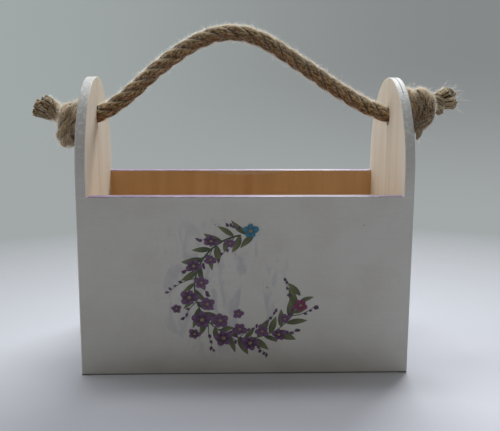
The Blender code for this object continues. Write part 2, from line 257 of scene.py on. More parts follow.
def node(tree, kind, inputs=(), output=0, **settings):
    """Add a node with its settings and links, and return one of its outputs.

    The inputs are given in order or by name, each as a value or as the socket that feeds it.
    """
    made = tree.nodes.new(kind)
    for name, value in settings.items():
        setattr(made, name, value)
    sockets = [socket for socket in made.inputs if socket.enabled]
    named = {socket.name: socket for socket in reversed(sockets)}
    pairs = inputs.items() if isinstance(inputs, dict) else enumerate(inputs)
    for key, value in pairs:
        socket = named[key] if isinstance(key, str) else sockets[key]
        if isinstance(value, bpy.types.NodeSocket):
            tree.links.new(value, socket)
        else:
            socket.default_value = value
    if isinstance(output, str):
        return made.outputs[output]
    return [socket for socket in made.outputs if socket.enabled][output]


def new_material(name, roughness, ior=1.5, metallic=0.0):
    """A material with its tree and its Principled shader."""
    material = bpy.data.materials.new(name)
    material.use_nodes = True
    tree = material.node_tree
    shader = tree.nodes["Principled BSDF"]
    shader.inputs["Roughness"].default_value = roughness
    shader.inputs["Metallic"].default_value = metallic
    if metallic == 0.0:
        shader.inputs["IOR"].default_value = ior
    return material, tree, shader


def finish(tree, shader, hue, height=None, depth=0.0):
    """Give a shader its colour and, where there is a height, a fine relief of this depth."""
    tree.links.new(hue, shader.inputs["Base Color"])
    if height:
        raised = node(tree, "ShaderNodeBump", {"Height": height, "Distance": depth})
        tree.links.new(raised, shader.inputs["Normal"])


def scaled(hue, factor):
    """A colour made lighter or darker, and opaque."""
    return (*(min(1.0, channel * factor) for channel in hue[:3]), 1.0)


def streaks(tree, place, stretch, width, detail=3.0, distortion=0.0):
    """A pattern of noise whose features are a width across and drawn out by the stretch."""
    drawn = node(tree, "ShaderNodeVectorMath", (place, stretch), **TIMES)
    return node(
        tree, "ShaderNodeTexNoise",
        {"Vector": drawn, "Scale": 1.0 / width, "Detail": detail, "Distortion": distortion},
    )


def place_and_axes(tree):
    """The point's place in the object, which is its place in the box at rest, and its parts."""
    place = node(tree, "ShaderNodeTexCoord", output="Object")
    return place, {axis: node(tree, "ShaderNodeSeparateXYZ", (place,), axis) for axis in "XYZ"}


def laid_over(tree, under, over, value, low, high, most=1.0, least=0.0):
    """One colour over another, with a share that eases to its most where a value nears the high."""
    share = node(tree, RANGE, (value, low, high, least, most), **EASED)
    return node(tree, MIX, (share, under, over), **COLOUR)


def distance_from(tree, value, middle):
    """How far a value is from a middle, either way."""
    off = node(tree, MATH, (value, middle), operation="SUBTRACT")
    return node(tree, MATH, (off,), operation="ABSOLUTE")


PORE_TONE = 0.82
ACRYLIC_IOR = 1.49
PAINT_ROUGHNESS = 0.58
LILAC_ROUGHNESS = 0.32
WOOD_ROUGHNESS = 0.72
WALL_RELIEF = 0.06 * MM
FILLER_RELIEF = 0.1 * MM
BASE_RELIEF = 0.08 * MM

# Sizes of the patches that the brush and the hand leave in the paint, of the pale spots on the rim,
# partly painted highlight, and of the painted shade at the foot
CLOUD = 28 * MM
MOTTLE = 2.0 * MM
DAB = 2.6 * MM
WASH_DAB = 9 * MM
WASH_STRENGTH = 0.48
RUBBED_SPOT = 3 * MM
FOOT_SHADE_CLOUD = 20 * MM
SPECK = 5 * MM
EDGE_WAVE = 5 * MM
EDGE_WANDER = 0.6 * MM
EDGE_FADE = 0.25 * MM


def bare_wood(tree, place, pale, dark, stripe, wood):
    """Colour and height of sanded plywood with upright grain.

    A rotary-cut face shows fine parallel streaks over slow bands, and short open pores. The
    stripe is an upright band a little darker than the rest, as a share from 0 to 1.
    """
    upright = (1.0, 1.0, 0.03)
    fibres = streaks(tree, place, upright, wood.fibre, 4.0)
    bands = streaks(tree, place, (1.0, 1.0, 0.1), wood.figure, 2.0, 0.6)
    pores = streaks(tree, place, upright, wood.fibre / 2, 1.0)
    fine = node(tree, RANGE, (fibres, 0.3, 0.75, 0.0, 0.18), **EASED)
    slow = node(tree, RANGE, (bands, 0.3, 0.7, 0.0, 0.45), **EASED)
    share = node(tree, MATH, (node(tree, MATH, (fine, slow)), stripe), use_clamp=True)
    face = node(tree, MIX, (share, pale, dark), **COLOUR)
    return laid_over(tree, face, scaled(dark, PORE_TONE), pores, 0.7, 0.8), fibres


def dark_upright_band(tree, across, middle, half_width, strength):
    """Share of the one darker upright band that runs up a face."""
    off = distance_from(tree, across, middle)
    return node(tree, RANGE, (off, half_width, 1 * MM, 0.0, strength), **EASED)


def paint_film(tree, place, stroke, paint, dabbed=0.04):
    """Colour and height of brushed acrylic whose strokes run along the stroke axis.

    The bristles leave fine ridges, the pigment lies a little unevenly, and the grain of the
    wood below shows faintly. The brush was dabbed here and there, by the share given.
    """
    along = [0.02 if axis == stroke else 1.0 for axis in "XYZ"]
    bristles = streaks(tree, place, along, paint.brush_mark, 3.0)
    cloud = streaks(tree, place, EVEN, CLOUD, 4.0)
    mottle = streaks(tree, place, EVEN, MOTTLE, 3.0)
    ridges = node(tree, MATH, (bristles, 0.6), **TIMES)
    rough = node(tree, MATH, (mottle, 0.5, ridges), **TIMES_PLUS)
    dabs = streaks(tree, place, EVEN, DAB, 4.0)
    film = laid_over(tree, paint.wall, paint.worn, cloud, 0.4, 0.75, 0.4)
    film = laid_over(tree, film, paint.worn, bristles, 0.45, 0.8, 0.25)
    return laid_over(tree, film, paint.fresh, dabs, 0.5, 0.62, dabbed), rough


def add_ply_line(tree, film, place, axes, paint):
    """The dark core veneer that shows through the paint near the top of the round edge."""
    wander = streaks(tree, place, (1, 0.15, 0.15), MOTTLE, 2.0)
    across = node(tree, MATH, (wander, 0.5 * MM, axes["X"]), **TIMES_PLUS)
    off = distance_from(tree, across, MID_WALL_X + 0.3 * MM)
    line = node(tree, RANGE, (off, 0.6 * MM, 0.3 * MM), **EASED)
    crown = node(tree, RANGE, (axes["Z"], TOP_Z - 14 * MM, TOP_Z - 9 * MM), **EASED)
    forward = node(tree, RANGE, (axes["Y"], 6 * MM, 0.0), **EASED)
    share = node(tree, MATH, (line, crown), **TIMES)
    share = node(tree, MATH, (share, forward), **TIMES)
    return node(tree, MIX, (share, film, paint.core), **COLOUR)


def add_lilac_rim(tree, film, place, axes, wander, paint):
    """Lilac on the top edge, with pale spots that are partly rubbed-back paint and partly painted
    highlight, and a long painted highlight right of the middle.

    Returns the film and the lilac's share.
    """
    up = node(tree, MATH, (wander, 1.4 * MM, axes["Z"]), **TIMES_PLUS)
    share = node(tree, RANGE, (up, RIM_Z - 0.1 * MM, RIM_Z + 0.4 * MM), **EASED)
    worn_through = streaks(tree, place, (0.25, 1, 1), RUBBED_SPOT, 4.0)
    # Painted highlight: the pale lilac's least share rises right of the middle and falls off near the
    # right end
    glint_rise = node(tree, RANGE, (axes["X"], -30 * MM, 45 * MM, 0.0, 0.85), **EASED)
    glint_fall = node(tree, RANGE, (axes["X"], 86 * MM, 102 * MM, 1.0, 0.2), **EASED)
    least = node(tree, MATH, (glint_rise, glint_fall), **TIMES)
    lilac = laid_over(tree, paint.rim, paint.rim_rubbed_and_highlight, worn_through, 0.54, 0.74, 0.9, least)
    return node(tree, MIX, (share, film, lilac), **COLOUR), share


def wiped_share(tree, axes, wander):
    """Share of thin paint wiped down the inner face, in one long shallow run below the rim."""
    off = distance_from(tree, axes["X"], 2 * MM)
    run = node(tree, RANGE, (off, 52 * MM, 8 * MM, 0.6 * MM, 4.2 * MM), **EASED)
    low = node(tree, MATH, (wander, 1.6 * MM, node(tree, MATH, (axes["Z"], run))), **TIMES_PLUS)
    return node(tree, RANGE, (low, RIM_Z + 0.4 * MM, RIM_Z + 1.2 * MM, 0.0, 0.34), **EASED)


def add_wash(tree, film, place, axes, paint, flowers):
    """A faint grey-lilac wash brushed round the print on the front."""
    off_x = distance_from(tree, axes["X"], flowers.middle_x - 22 * MM)
    off_z = distance_from(tree, axes["Z"], flowers.middle_z)
    squares = [node(tree, MATH, (off, off), **TIMES) for off in (off_x, off_z)]
    off = node(tree, MATH, squares)
    near = node(tree, RANGE, (off, (70 * MM) ** 2, (20 * MM) ** 2), **EASED)
    front = node(tree, MATH, (axes["Y"], 0.0), operation="LESS_THAN")
    near = node(tree, MATH, (near, front), **TIMES)
    dabs = streaks(tree, place, (1, 1, 0.4), WASH_DAB, 4.0, 0.8)
    dabs = node(tree, RANGE, (dabs, 0.5, 0.66), **EASED)
    share = node(tree, MATH, (near, dabs), **TIMES)
    share = node(tree, MATH, (share, WASH_STRENGTH), **TIMES)
    return node(tree, MIX, (share, film, paint.wash), **COLOUR)


def add_scuffs_and_foot_shade(tree, film, place, axes, paint):
    """Painted shade greying the foot of a panel, grime along its lower edge and a few dark specks."""
    cloud = streaks(tree, place, EVEN, FOOT_SHADE_CLOUD, 3.0)
    up = node(tree, MATH, (cloud, 16 * MM, axes["Z"]), **TIMES_PLUS)
    aside = distance_from(tree, axes["X"], 0.0)
    # Painted shade at the foot: deeper towards the middle of a panel and towards the floor
    foot_shade_share = node(tree, RANGE, (aside, 125 * MM, 60 * MM, 0.1, 0.36), **EASED)
    film = laid_over(tree, film, paint.foot_shade, up, 40 * MM, 4 * MM, foot_shade_share)
    specks = streaks(tree, place, EVEN, SPECK, 1.0)
    specks = node(tree, RANGE, (specks, 0.77, 0.8, 0.0, 0.6), **EASED)
    foot = node(tree, RANGE, (axes["Z"], 1.5 * MM, 0.7 * MM, 0.0, 0.9), **EASED)
    share = node(tree, MATH, (foot, specks), **LARGER)
    return node(tree, MIX, (share, film, paint.grime), **COLOUR)


def bare_inside(tree, wander, depth, inner, overlap):
    """Share of bare wood inside the box. The paint stops just past the arris, unevenly."""
    edge = node(tree, MATH, (wander, EDGE_WANDER, depth), **TIMES_PLUS)
    return node(tree, RANGE, (edge, inner + overlap + EDGE_FADE, inner + overlap), **EASED)


def finish_wall(tree, shader, bare, film, face, heights, painted=PAINT_ROUGHNESS):
    """Join paint and bare wood by the share that is bare. The paint's roughness can be given."""
    rough = node(tree, RANGE, (bare, 0.0, 1.0, painted, WOOD_ROUGHNESS))
    tree.links.new(rough, shader.inputs["Roughness"])
    hue = node(tree, MIX, (bare, film, face), **COLOUR)
    height = node(tree, MIX, (bare, *heights), data_type="FLOAT")
    finish(tree, shader, hue, height, WALL_RELIEF)


def end_panel_material(paint, wood):
    """Birch plywood, brushed with acrylic outside and on the edge, and bare inside.

    The paint was dabbed on more thickly along the edge. The bore of the rope hole is bare too.
    """
    material, tree, shader = new_material("brushed_acrylic_on_birch_ply", 0.5, ACRYLIC_IOR)
    place, axes = place_and_axes(tree)
    depth = node(tree, MATH, (axes["X"],), operation="ABSOLUTE")
    high = node(tree, RANGE, (axes["Z"], RIM_Z + 15 * MM, RIM_Z + 60 * MM, 0.1, 0.6), **EASED)
    dabbed = node(tree, RANGE, (depth, OUTER_X - 0.2 * MM, OUTER_X - 1.0 * MM, 0.06, high), **EASED)
    film, film_height = paint_film(tree, place, "Z", paint, dabbed)
    film = add_ply_line(tree, film, place, axes, paint)
    film = add_scuffs_and_foot_shade(tree, film, place, axes, paint)
    stripe = dark_upright_band(tree, axes["Y"], -2 * MM, 5 * MM, 0.45)
    face, face_height = bare_wood(tree, place, wood.end_pale, wood.end_dark, stripe, wood)
    wander = streaks(tree, place, EVEN, EDGE_WAVE, 3.0)
    bare = bare_inside(tree, wander, depth, INNER_X, paint.overlap)
    in_section = node(tree, "ShaderNodeCombineXYZ", (0.0, axes["Y"], axes["Z"]))
    from_hole = node(
        tree, "ShaderNodeVectorMath", (in_section, (0.0, HINGE.y, HINGE.z)), "Value",
        operation="DISTANCE",
    )
    bore = node(tree, RANGE, (from_hole, HOLE_RADIUS + 0.6 * MM, HOLE_RADIUS + 0.4 * MM), **EASED)
    bare = node(tree, MATH, (bare, bore), **LARGER)
    finish_wall(tree, shader, bare, film, face, (film_height, face_height))
    return material


def side_panel_material(paint, wood, flowers):
    """Pine plywood, brushed with acrylic outside, lilac on its top edge and bare inside.

    The lilac is glossier than the wall paint.
    """
    material, tree, shader = new_material("brushed_acrylic_on_pine_ply", 0.5, ACRYLIC_IOR)
    place, axes = place_and_axes(tree)
    film, film_height = paint_film(tree, place, "X", paint)
    film = add_wash(tree, film, place, axes, paint, flowers)
    film = add_scuffs_and_foot_shade(tree, film, place, axes, paint)
    wander = streaks(tree, place, EVEN, EDGE_WAVE, 3.0)
    film, lilac = add_lilac_rim(tree, film, place, axes, wander, paint)
    stripe = dark_upright_band(tree, axes["X"], 7 * MM, 7 * MM, 0.5)
    # The bare inside takes the darker, warmer wood, partly painted shade for the inside of the box
    face, face_height = bare_wood(tree, place, wood.side_pale_and_shade, wood.side_dark_and_shade, stripe, wood)
    depth = node(tree, MATH, (axes["Y"],), operation="ABSOLUTE")
    bare = bare_inside(tree, wander, depth, INNER_Y, paint.overlap)
    thin = node(tree, MATH, (lilac, wiped_share(tree, axes, wander)), **LARGER)
    left_bare = node(tree, MATH, (1.0, thin), operation="SUBTRACT")
    bare = node(tree, MATH, (bare, left_bare), **TIMES)
    painted = node(tree, RANGE, (lilac, 0.0, 1.0, PAINT_ROUGHNESS, LILAC_ROUGHNESS))
    finish_wall(tree, shader, bare, film, face, (film_height, face_height), painted)
    return material


def dress(name, material):
    """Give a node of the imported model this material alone."""
    slots = frame["nodes"][name].data.materials
    slots.clear()
    slots.append(material)


class BOX_OT_walls(bpy.types.Operator):
    """Paint the four walls outside and leave them bare inside"""
    bl_idname = "box.walls"
    bl_label = "Walls"

    def execute(self, context):
        scene = context.scene
        ends = end_panel_material(scene.box_paint, scene.box_wood)
        sides = side_panel_material(scene.box_paint, scene.box_wood, scene.box_flowers)
        for end in ("left", "right"):
            dress(f"{end}_end_panel", ends)
        for face in ("front", "back"):
            dress(f"{face}_panel", sides)
        return {"FINISHED"}


SEAM_HALF_WIDTH = 0.95 * MM
SEAM_SHORT = 1.1 * MM
SEAM_DEPTH = 0.75 * MM
SEAM_LIFT = 0.015 * MM
SEAM_LOW = Vector((0, 0, 0.4 * MM))
SEAM_HIGH = Vector((0, 0, RIM_Z - 0.9 * MM))
BEAD_MIDDLE = Vector((INNER_X - 0.2 * MM, abs(FRONT_Y) - 0.7 * MM, RIM_Z - 0.5 * MM))
BEAD_RADII = Vector((1.265, 0.99, 0.88)) * MM
BEAD_RINGS = 8
BEAD_SIDES = 12


def filler_material(paint):
    """Acrylic over fine filler: flush and smooth, with the same brush marks as the walls."""
    material, tree, shader = new_material("brushed_acrylic_on_filler", 0.5, ACRYLIC_IOR)
    place, axes = place_and_axes(tree)
    film, height = paint_film(tree, place, "X", paint)
    film = add_scuffs_and_foot_shade(tree, film, place, axes, paint)
    film = laid_over(tree, film, paint.chip, axes["Z"], RIM_Z - 1.6 * MM, RIM_Z - 0.9 * MM)
    finish(tree, shader, film, height, FILLER_RELIEF)
    return material


def add_seam(shell, x_sign, y_sign):
    """The filler over one upright joint and the edge of the end panel, with a bead on its top."""
    face = abs(FRONT_Y)
    ring = [
        Vector((x_sign * x, y_sign * y, 0)) for x, y in (
            (INNER_X - SEAM_HALF_WIDTH, face + SEAM_LIFT),
            (INNER_X, face - SEAM_DEPTH),
            (OUTER_X - SEAM_SHORT, face + SEAM_LIFT),
        )
    ]
    if y_sign * x_sign < 0:
        ring.reverse()
    add_tube(shell, [[point + SEAM_LOW for point in ring], [point + SEAM_HIGH for point in ring]])
    middle = Vector((x_sign, y_sign, 1)) * BEAD_MIDDLE
    beads = []
    for k in range(1, BEAD_RINGS):
        tilt = math.pi * k / BEAD_RINGS
        turns = [2 * math.pi * j / BEAD_SIDES for j in range(BEAD_SIDES)]
        beads.append([
            middle + BEAD_RADII * Vector((
                math.sin(tilt) * math.cos(turn), math.sin(tilt) * math.sin(turn), -math.cos(tilt),
            )) for turn in turns
        ])
    add_tube(shell, beads)


class BOX_OT_seams(bpy.types.Operator):
    """Fill the upright joints between the panels flush, with a bead of filler at each rim corner"""
    bl_idname = "box.seams"
    bl_label = "Filled seams"

    def execute(self, context):
        shell = ([], [], [])
        for y_sign in (-1, 1):
            for x_sign in (-1, 1):
                add_seam(shell, x_sign, y_sign)
        material = filler_material(context.scene.box_paint)
        add_piece("filled_seams", shell, material, "box")
        return {"FINISHED"}


def base_material(wood):
    """Sanded birch plywood: matt, with fine streaks along the box and a few open pores."""
    material, tree, shader = new_material("sanded_birch_ply", 0.7)
    place, _ = place_and_axes(tree)
    turned = node(
        tree, "ShaderNodeVectorRotate", {"Vector": place, "Angle": math.pi / 2},
        rotation_type="Y_AXIS",
    )
    face, height = bare_wood(tree, turned, wood.base_pale, wood.base_dark, 0.0, wood)
    finish(tree, shader, face, height, BASE_RELIEF)
    return material


class BOX_OT_base(bpy.types.Operator):
    """Leave the base as sanded plywood"""
    bl_idname = "box.base"
    bl_label = "Base"

    def execute(self, context):
        dress("base_panel", base_material(context.scene.box_wood))
        return {"FINISHED"}


STEEL_DULL = "#8d8f92"
STEEL_BRIGHT = "#b4b6b8"
DIE_MARK = 0.2 * MM


def pin_material():
    """Drawn steel wire: bright, with fine lines along the shank where the die marked it."""
    material, tree, shader = new_material("drawn_steel_wire", 0.35, metallic=1.0)
    place, _ = place_and_axes(tree)
    marks = streaks(tree, place, (0.1, 0.1, 1.0), DIE_MARK, 2.0)
    tone = node(tree, MIX, (marks, linear(STEEL_DULL), linear(STEEL_BRIGHT)), **COLOUR)
    finish(tree, shader, tone)
    worn = node(tree, RANGE, (marks, 0.3, 0.7, 0.28, 0.45))
    tree.links.new(worn, shader.inputs["Roughness"])
    return material


class BOX_OT_pins(bpy.types.Operator):
    """Give the hidden panel pins their bright steel"""
    bl_idname = "box.pins"
    bl_label = "Panel pins"

    def execute(self, context):
        material = pin_material()
        for name in frame["nodes"]:
            if "_pin_" in name:
                dress(name, material)
        return {"FINISHED"}


def knot_places(points, x_sign):
    """A knot's points in the frame."""
    return [
        Vector((x_sign * (OUTER_X + out * MM), HINGE.y + back * MM, HINGE.z + up * MM))
        for out, back, up in points
    ]


def rope_route(rope):
    """The rope's points from the left tail to the right one, each with its diameter."""
    left = knot_places(LEFT_KNOT, -1)
    right = knot_places(RIGHT_KNOT, 1)
    arch = [Vector((INNER_X * (2 * share - 1), HINGE.y, HINGE.z + rise * MM)) for share, rise in ARCH]
    swell = rope.frayed / RIGHT_TAIL_WIDTHS[-1]
    left_widths = [width * swell for width in LEFT_TAIL_WIDTHS]
    right_widths = [width * swell for width in RIGHT_TAIL_WIDTHS]
    at_hole = rope.diameter * DRAWN_IN_AT_HOLE
    route = list(zip(reversed(knot_places(LEFT_TAIL, -1)), reversed(left_widths)))
    route += [(place, rope.left_knot) for place in reversed(left[1:])]
    route += [(left[0], at_hole)]
    route += [(place, rope.diameter) for place in arch]
    route += [(right[0], at_hole)]
    route += [(place, rope.right_knot) for place in right[1:]]
    route += list(zip(knot_places(RIGHT_TAIL, 1), right_widths))
    return route


def smooth_curve(route):
    """Closely spaced points on a smooth curve through the route, each with its diameter."""
    places = [place for place, _ in route]
    widths = [width for _, width in route]
    chords = [(b - a).length for a, b in zip(places, places[1:])]
    slopes = [(places[1] - places[0]) / chords[0]]
    for i in range(1, len(places) - 1):
        before = (places[i] - places[i - 1]) / chords[i - 1]
        after = (places[i + 1] - places[i]) / chords[i]
        both = chords[i - 1] + chords[i]
        slopes.append((before * chords[i] + after * chords[i - 1]) / both)
    slopes.append((places[-1] - places[-2]) / chords[-1])
    result = [(places[0], widths[0])]
    for i, chord in enumerate(chords):
        steps = max(1, round(chord / STATION_STEP))
        for k in range(1, steps + 1):
            t = k / steps
            place = (
                places[i] * (2 * t**3 - 3 * t**2 + 1)
                + slopes[i] * chord * (t**3 - 2 * t**2 + t)
                + places[i + 1] * (3 * t**2 - 2 * t**3)
                + slopes[i + 1] * chord * (t**3 - t**2)
            )
            eased = t * t * (3 - 2 * t)
            result.append((place, widths[i] + (widths[i + 1] - widths[i]) * eased))
    return result


def rope_stations(rope):
    """Stations along the whole rope: its place, width, length so far, heading, side and lay."""
    curve = smooth_curve(rope_route(rope))
    stations = []
    side = Vector((0, 1, 0))
    along = 0.0
    turned = 0.0
    for i, (place, width) in enumerate(curve):
        before = curve[max(i - 1, 0)][0]
        after = curve[min(i + 1, len(curve) - 1)][0]
        ahead = (after - before).normalized()
        side = (side - ahead * side.dot(ahead)).normalized()
        if i:
            step = (place - before).length
            along += step
            turned += 2 * math.pi * step / (rope.lay * width / rope.diameter)
        stations.append(Station(place, width, along, ahead, side, turned))
    return stations


def add_tube(shell, rings, uv_rows=None):
    """Join rings of points into a closed tube. The shell is a mesh's points, faces and face UVs."""
    points, faces, uvs = shell
    first = len(points)
    sides = len(rings[0])
    for ring in rings:
        points.extend(ring)
    for r in range(len(rings) - 1):
        for i in range(sides):
            j = (i + 1) % sides
            low = first + r * sides
            high = low + sides
            faces.append((low + i, low + j, high + j, high + i))
            if uv_rows:
                a, b = uv_rows[r], uv_rows[r + 1]
                uvs.append((a[i], a[i + 1], b[i + 1], b[i]))
            else:
                uvs.append(((0, 0),) * 4)
    last = first + (len(rings) - 1) * sides
    faces.append(tuple(first + i for i in reversed(range(sides))))
    faces.append(tuple(last + i for i in range(sides)))
    uvs.extend((uv_rows[end][0] if uv_rows else (0, 0),) * sides for end in (0, -1))


def add_piece(name, shell, material, body):
    """Turn the shell into a piece that rides on a body."""
    points, faces, uvs = shell
    mesh = bpy.data.meshes.new(name)
    mesh.from_pydata(points, [], faces)
    layer = mesh.uv_layers.new(name="UVMap")
    flat = [value for corners in uvs for corner in corners for value in corner]
    layer.data.foreach_set("uv", flat)
    mesh.shade_smooth()
    mesh.set_sharp_from_angle(angle=math.radians(60))
    mesh.materials.append(material)
    piece = bpy.data.objects.new(name, mesh)
    bpy.context.scene.collection.objects.link(piece)
    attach(piece, body)
    return piece


def add_rope_piece(name, shell, material):
    """A piece of the rope, in place of the model's plain one."""
    piece = add_piece(name, shell, material, "handle")
    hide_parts("rope_handle")
    return piece


STRANDS = 3
STRAND_SIDES = 40

# A strand's section, in shares of the rope's width: how far its middle lies from the rope's, how
# far it goes out and over from there, and how near it comes to the rope's middle
STRAND_REACH = 0.27
STRAND_OUT = 0.23
STRAND_OVER = 0.285
STRAND_CLEAR = 0.015
WEDGE = math.tan(math.radians(59))

# A strand's yarns: how many there are, how deep their grooves are and how far they turn back for
# each turn of the lay
YARNS_ROUND = 8
YARN_GROOVE = 0.085
YARN_BACK_TWIST = 1.7
UV_ALONG = 10 * MM

# Unevenness of hand-laid jute, as a share of the strand, and the length of one swelling
LUMP = 0.035
LUMP_LENGTH = 9 * MM
ROUGH = 0.03
ROUGH_LENGTH = 4 * MM

# How a strand's hidden end tapers, and how the turns of a knot press on each other and the panel
TAPER_RINGS = 5
TAPER_FROM = 0.55
NEXT_TURN = 1.15
PRESSED_SHARE = 0.985
SEAT = 0.15 * MM


def round_way(side, up, angle):
    """The way that turns from one direction to another as the angle grows."""
    return side * math.cos(angle) + up * math.sin(angle)


def station_way(station, angle):
    """A way out of the rope at a station, by its angle round the rope."""
    return round_way(station.side, station.ahead.cross(station.side), angle)


def section_axes(station, number):
    """The way out to a strand's middle and the way round, in the rope's section."""
    out = station_way(station, station.turned + 2 * math.pi * number / STRANDS)
    return out, station.ahead.cross(out)


def off_panel(place):
    """A point of the rope moved out of the end panel that it is drawn tight against."""
    reach = abs(place[0])
    from_hole = math.hypot(place[1] - HINGE.y, place[2] - HINGE.z)
    if MID_WALL_X < reach < OUTER_X + SEAT and from_hole > HOLE_RADIUS - 0.1 * MM:
        return Vector((math.copysign(OUTER_X + SEAT, place[0]), place[1], place[2]))
    return Vector(place)


def pressed(ring, station, stations):
    """A ring of points pressed flat where another turn of the knot lies against it.

    Two turns meet halfway between their middles, so neither cuts into the other.
    """
    middle = np.array(station.place)
    apart = NEXT_TURN * station.width
    others = [s.place for s in stations if abs(s.along - station.along) > apart]
    out = np.array(ring) - middle
    if others:
        across = np.array(others) - middle
        reach = out @ across.T
        halfway = (across * across).sum(axis=1) / np.maximum(2 * reach, 1e-12)
        halfway = np.where(reach > 0, halfway, 1.0).min(axis=1)
        out = out * np.minimum(1.0, PRESSED_SHARE * halfway)[:, None]
    return [off_panel(point) for point in out + middle]


def add_strand(shell, stations, number, tapered_first=False, tapered_last=False):
    """One of the rope's strands over these stations, with its yarns as ridges that run back.

    A laid strand is pressed into a wedge inside the rope and stays round outside. The factors of
    its number keep its unevenness apart from that of the other strands.
    """
    rings = []
    uv_rows = []
    last = len(stations) - 1
    for i, station in enumerate(stations):
        out, over = section_axes(station, number)
        lump = 1 + LUMP * noise.noise(Vector((station.along / LUMP_LENGTH, number * 7.3, 0.0)))
        for tapered, from_tip in ((tapered_first, i), (tapered_last, last - i)):
            if tapered and from_tip < TAPER_RINGS:
                lump *= TAPER_FROM + (1 - TAPER_FROM) * from_tip / TAPER_RINGS
        yarn_turn = -station.turned * YARN_BACK_TWIST
        ring = []
        row = []
        for k in range(STRAND_SIDES + 1):
            angle = 2 * math.pi * k / STRAND_SIDES
            yarns = (angle - yarn_turn) * YARNS_ROUND / (2 * math.pi)
            row.append((yarns + number * 31, station.along / UV_ALONG))
            if k < STRAND_SIDES:
                ridge = abs(math.cos(math.pi * yarns)) ** 0.7 - 0.6
                rough = noise.noise(Vector((yarns * 1.3, station.along / ROUGH_LENGTH, number * 5.1)))
                far = lump * (1 + YARN_GROOVE * ridge + ROUGH * rough)
                x = max(STRAND_REACH * lump + STRAND_OUT * far * math.cos(angle), STRAND_CLEAR)
                y = STRAND_OVER * far * math.sin(angle)
                y = max(-x * WEDGE, min(x * WEDGE, y))
                ring.append(station.place + (out * x + over * y) * station.width)
        rings.append(pressed(ring, station, stations) if tapered_first or tapered_last else ring)
        uv_rows.append(row)
    add_tube(shell, rings, uv_rows)


JUTE_ROUGHNESS = 0.92
JUTE_IOR = 1.53
JUTE_RELIEF = 1.2 * MM
GLOW_DEPTH = 1.5 * MM
CREVICE_REACH = 4.0 * MM


def spun_hue(tree, uv, number, rope):
    """Colour and height of spun jute: each yarn has its own tone, with pale and dark fibres."""
    own_tone = node(tree, "ShaderNodeTexWhiteNoise", (number,), "Value", noise_dimensions="1D")
    fibres = streaks(tree, uv, (4.5, 1.2, 1.0), 1.0, 5.0, 0.5)
    fine = streaks(tree, uv, (9.0, 3.0, 1.0), 1.0, 3.0, 0.3)
    patches = streaks(tree, uv, (0.3, 0.25, 1.0), 1.0, 3.0)
    flecks = streaks(tree, uv, (2.0, 2.6, 1.0), 1.0, 3.0, 0.4)
    tone = node(tree, MATH, (own_tone, 0.35, patches), **TIMES_PLUS)
    hue = rope.straw
    for value, low, high, strength, other in (
        (tone, 0.5, 0.8, 1.0, rope.olive),
        (fibres, 0.47, 0.7, 1.0, rope.brown),
        (fine, 0.55, 0.66, 0.8, rope.fuzz),
        (flecks, 0.53, 0.63, 0.8, rope.brown),
        (flecks, 0.46, 0.36, 0.7, rope.pale_fleck_and_highlight),
    ):
        hue = laid_over(tree, hue, other, value, low, high, strength)
    return hue, fibres


def top_highlight_under_shade(tree, hue, rope, highlight_share):
    """Jute with a painted highlight on its upper side and painted shade in brown below."""
    facing = node(tree, "ShaderNodeTexCoord", output="Normal")
    rise = node(tree, "ShaderNodeSeparateXYZ", (facing,), "Z")
    # Painted highlight on faces that look up, painted shade in brown on faces that look down
    hue = laid_over(tree, hue, rope.pale_fleck_and_highlight, rise, 0.3, 0.95, 0.9)
    hue = laid_over(tree, hue, rope.brown, rise, 0.2, -0.6, 0.6)
    return node(tree, MIX, (highlight_share, hue, rope.pale_fleck_and_highlight), **COLOUR)


def jute_material(rope, opened, highlight_share=0.0, filled=0.0):
    """Twisted jute: dull, dry fibres of straw, olive and brown, with painted shade in the grooves.

    Painted shade darkens the yarn grooves, and by ambient occlusion the places where the strands
    and the knot's turns meet. Where the strands are opened, from 0 to 1, light passes through the
    fibres, the highlight share, from 0 to 1, mixes in painted highlight, and the filled share, from
    0 to 1, makes the painted shade in the crevices less dark.

    Jute is spun from coarse fibres of 0.05 to 0.1 mm, which are too fine to show, so the streaks
    are drawn 0.25 mm wide.
    """
    material, tree, shader = new_material("twisted_jute", JUTE_ROUGHNESS, JUTE_IOR)
    for name, value in (
        ("Subsurface Weight", 0.15 + 0.65 * opened),
        ("Subsurface Radius", (1.0, 0.8, 0.6)),
        ("Subsurface Scale", GLOW_DEPTH),
        ("Sheen Weight", 0.2),
        ("Sheen Tint", rope.sheen),
        ("Sheen Roughness", 0.3),
        ("Specular IOR Level", 0.15),
    ):
        shader.inputs[name].default_value = value
    uv = node(tree, "ShaderNodeUVMap", uv_map="UVMap")
    across = node(tree, "ShaderNodeSeparateXYZ", (uv,), "X")
    yarn = node(tree, MATH, (across, float(YARNS_ROUND)), operation="FLOORED_MODULO")
    shifted = node(tree, MATH, (yarn, 0.5), operation="ADD")
    number = node(tree, MATH, (shifted,), operation="FLOOR")
    within = node(tree, MATH, (shifted,), operation="FRACT")
    from_groove = node(tree, MATH, (within, 0.5), operation="PINGPONG")
    hue, fibres = spun_hue(tree, uv, number, rope)
    hue = top_highlight_under_shade(tree, hue, rope, highlight_share)
    # Painted shade: darker in the yarn grooves and where ambient occlusion finds strands and turns
    # meeting
    open_share = node(
        tree, "ShaderNodeAmbientOcclusion", {"Distance": CREVICE_REACH}, "AO", samples=12,
        only_local=True,
    )
    groove = node(tree, RANGE, (from_groove, 0.0, 0.3, 0.6, 1.0), **EASED)
    clear = node(tree, RANGE, (open_share, 0.3, 0.93, filled, 1.0))
    shade = node(tree, MATH, (groove, clear), **TIMES)
    hue = node(tree, MIX, (shade, rope.crevice_shade, hue), **COLOUR)
    finish(tree, shader, hue, fibres, JUTE_RELIEF)
    return material


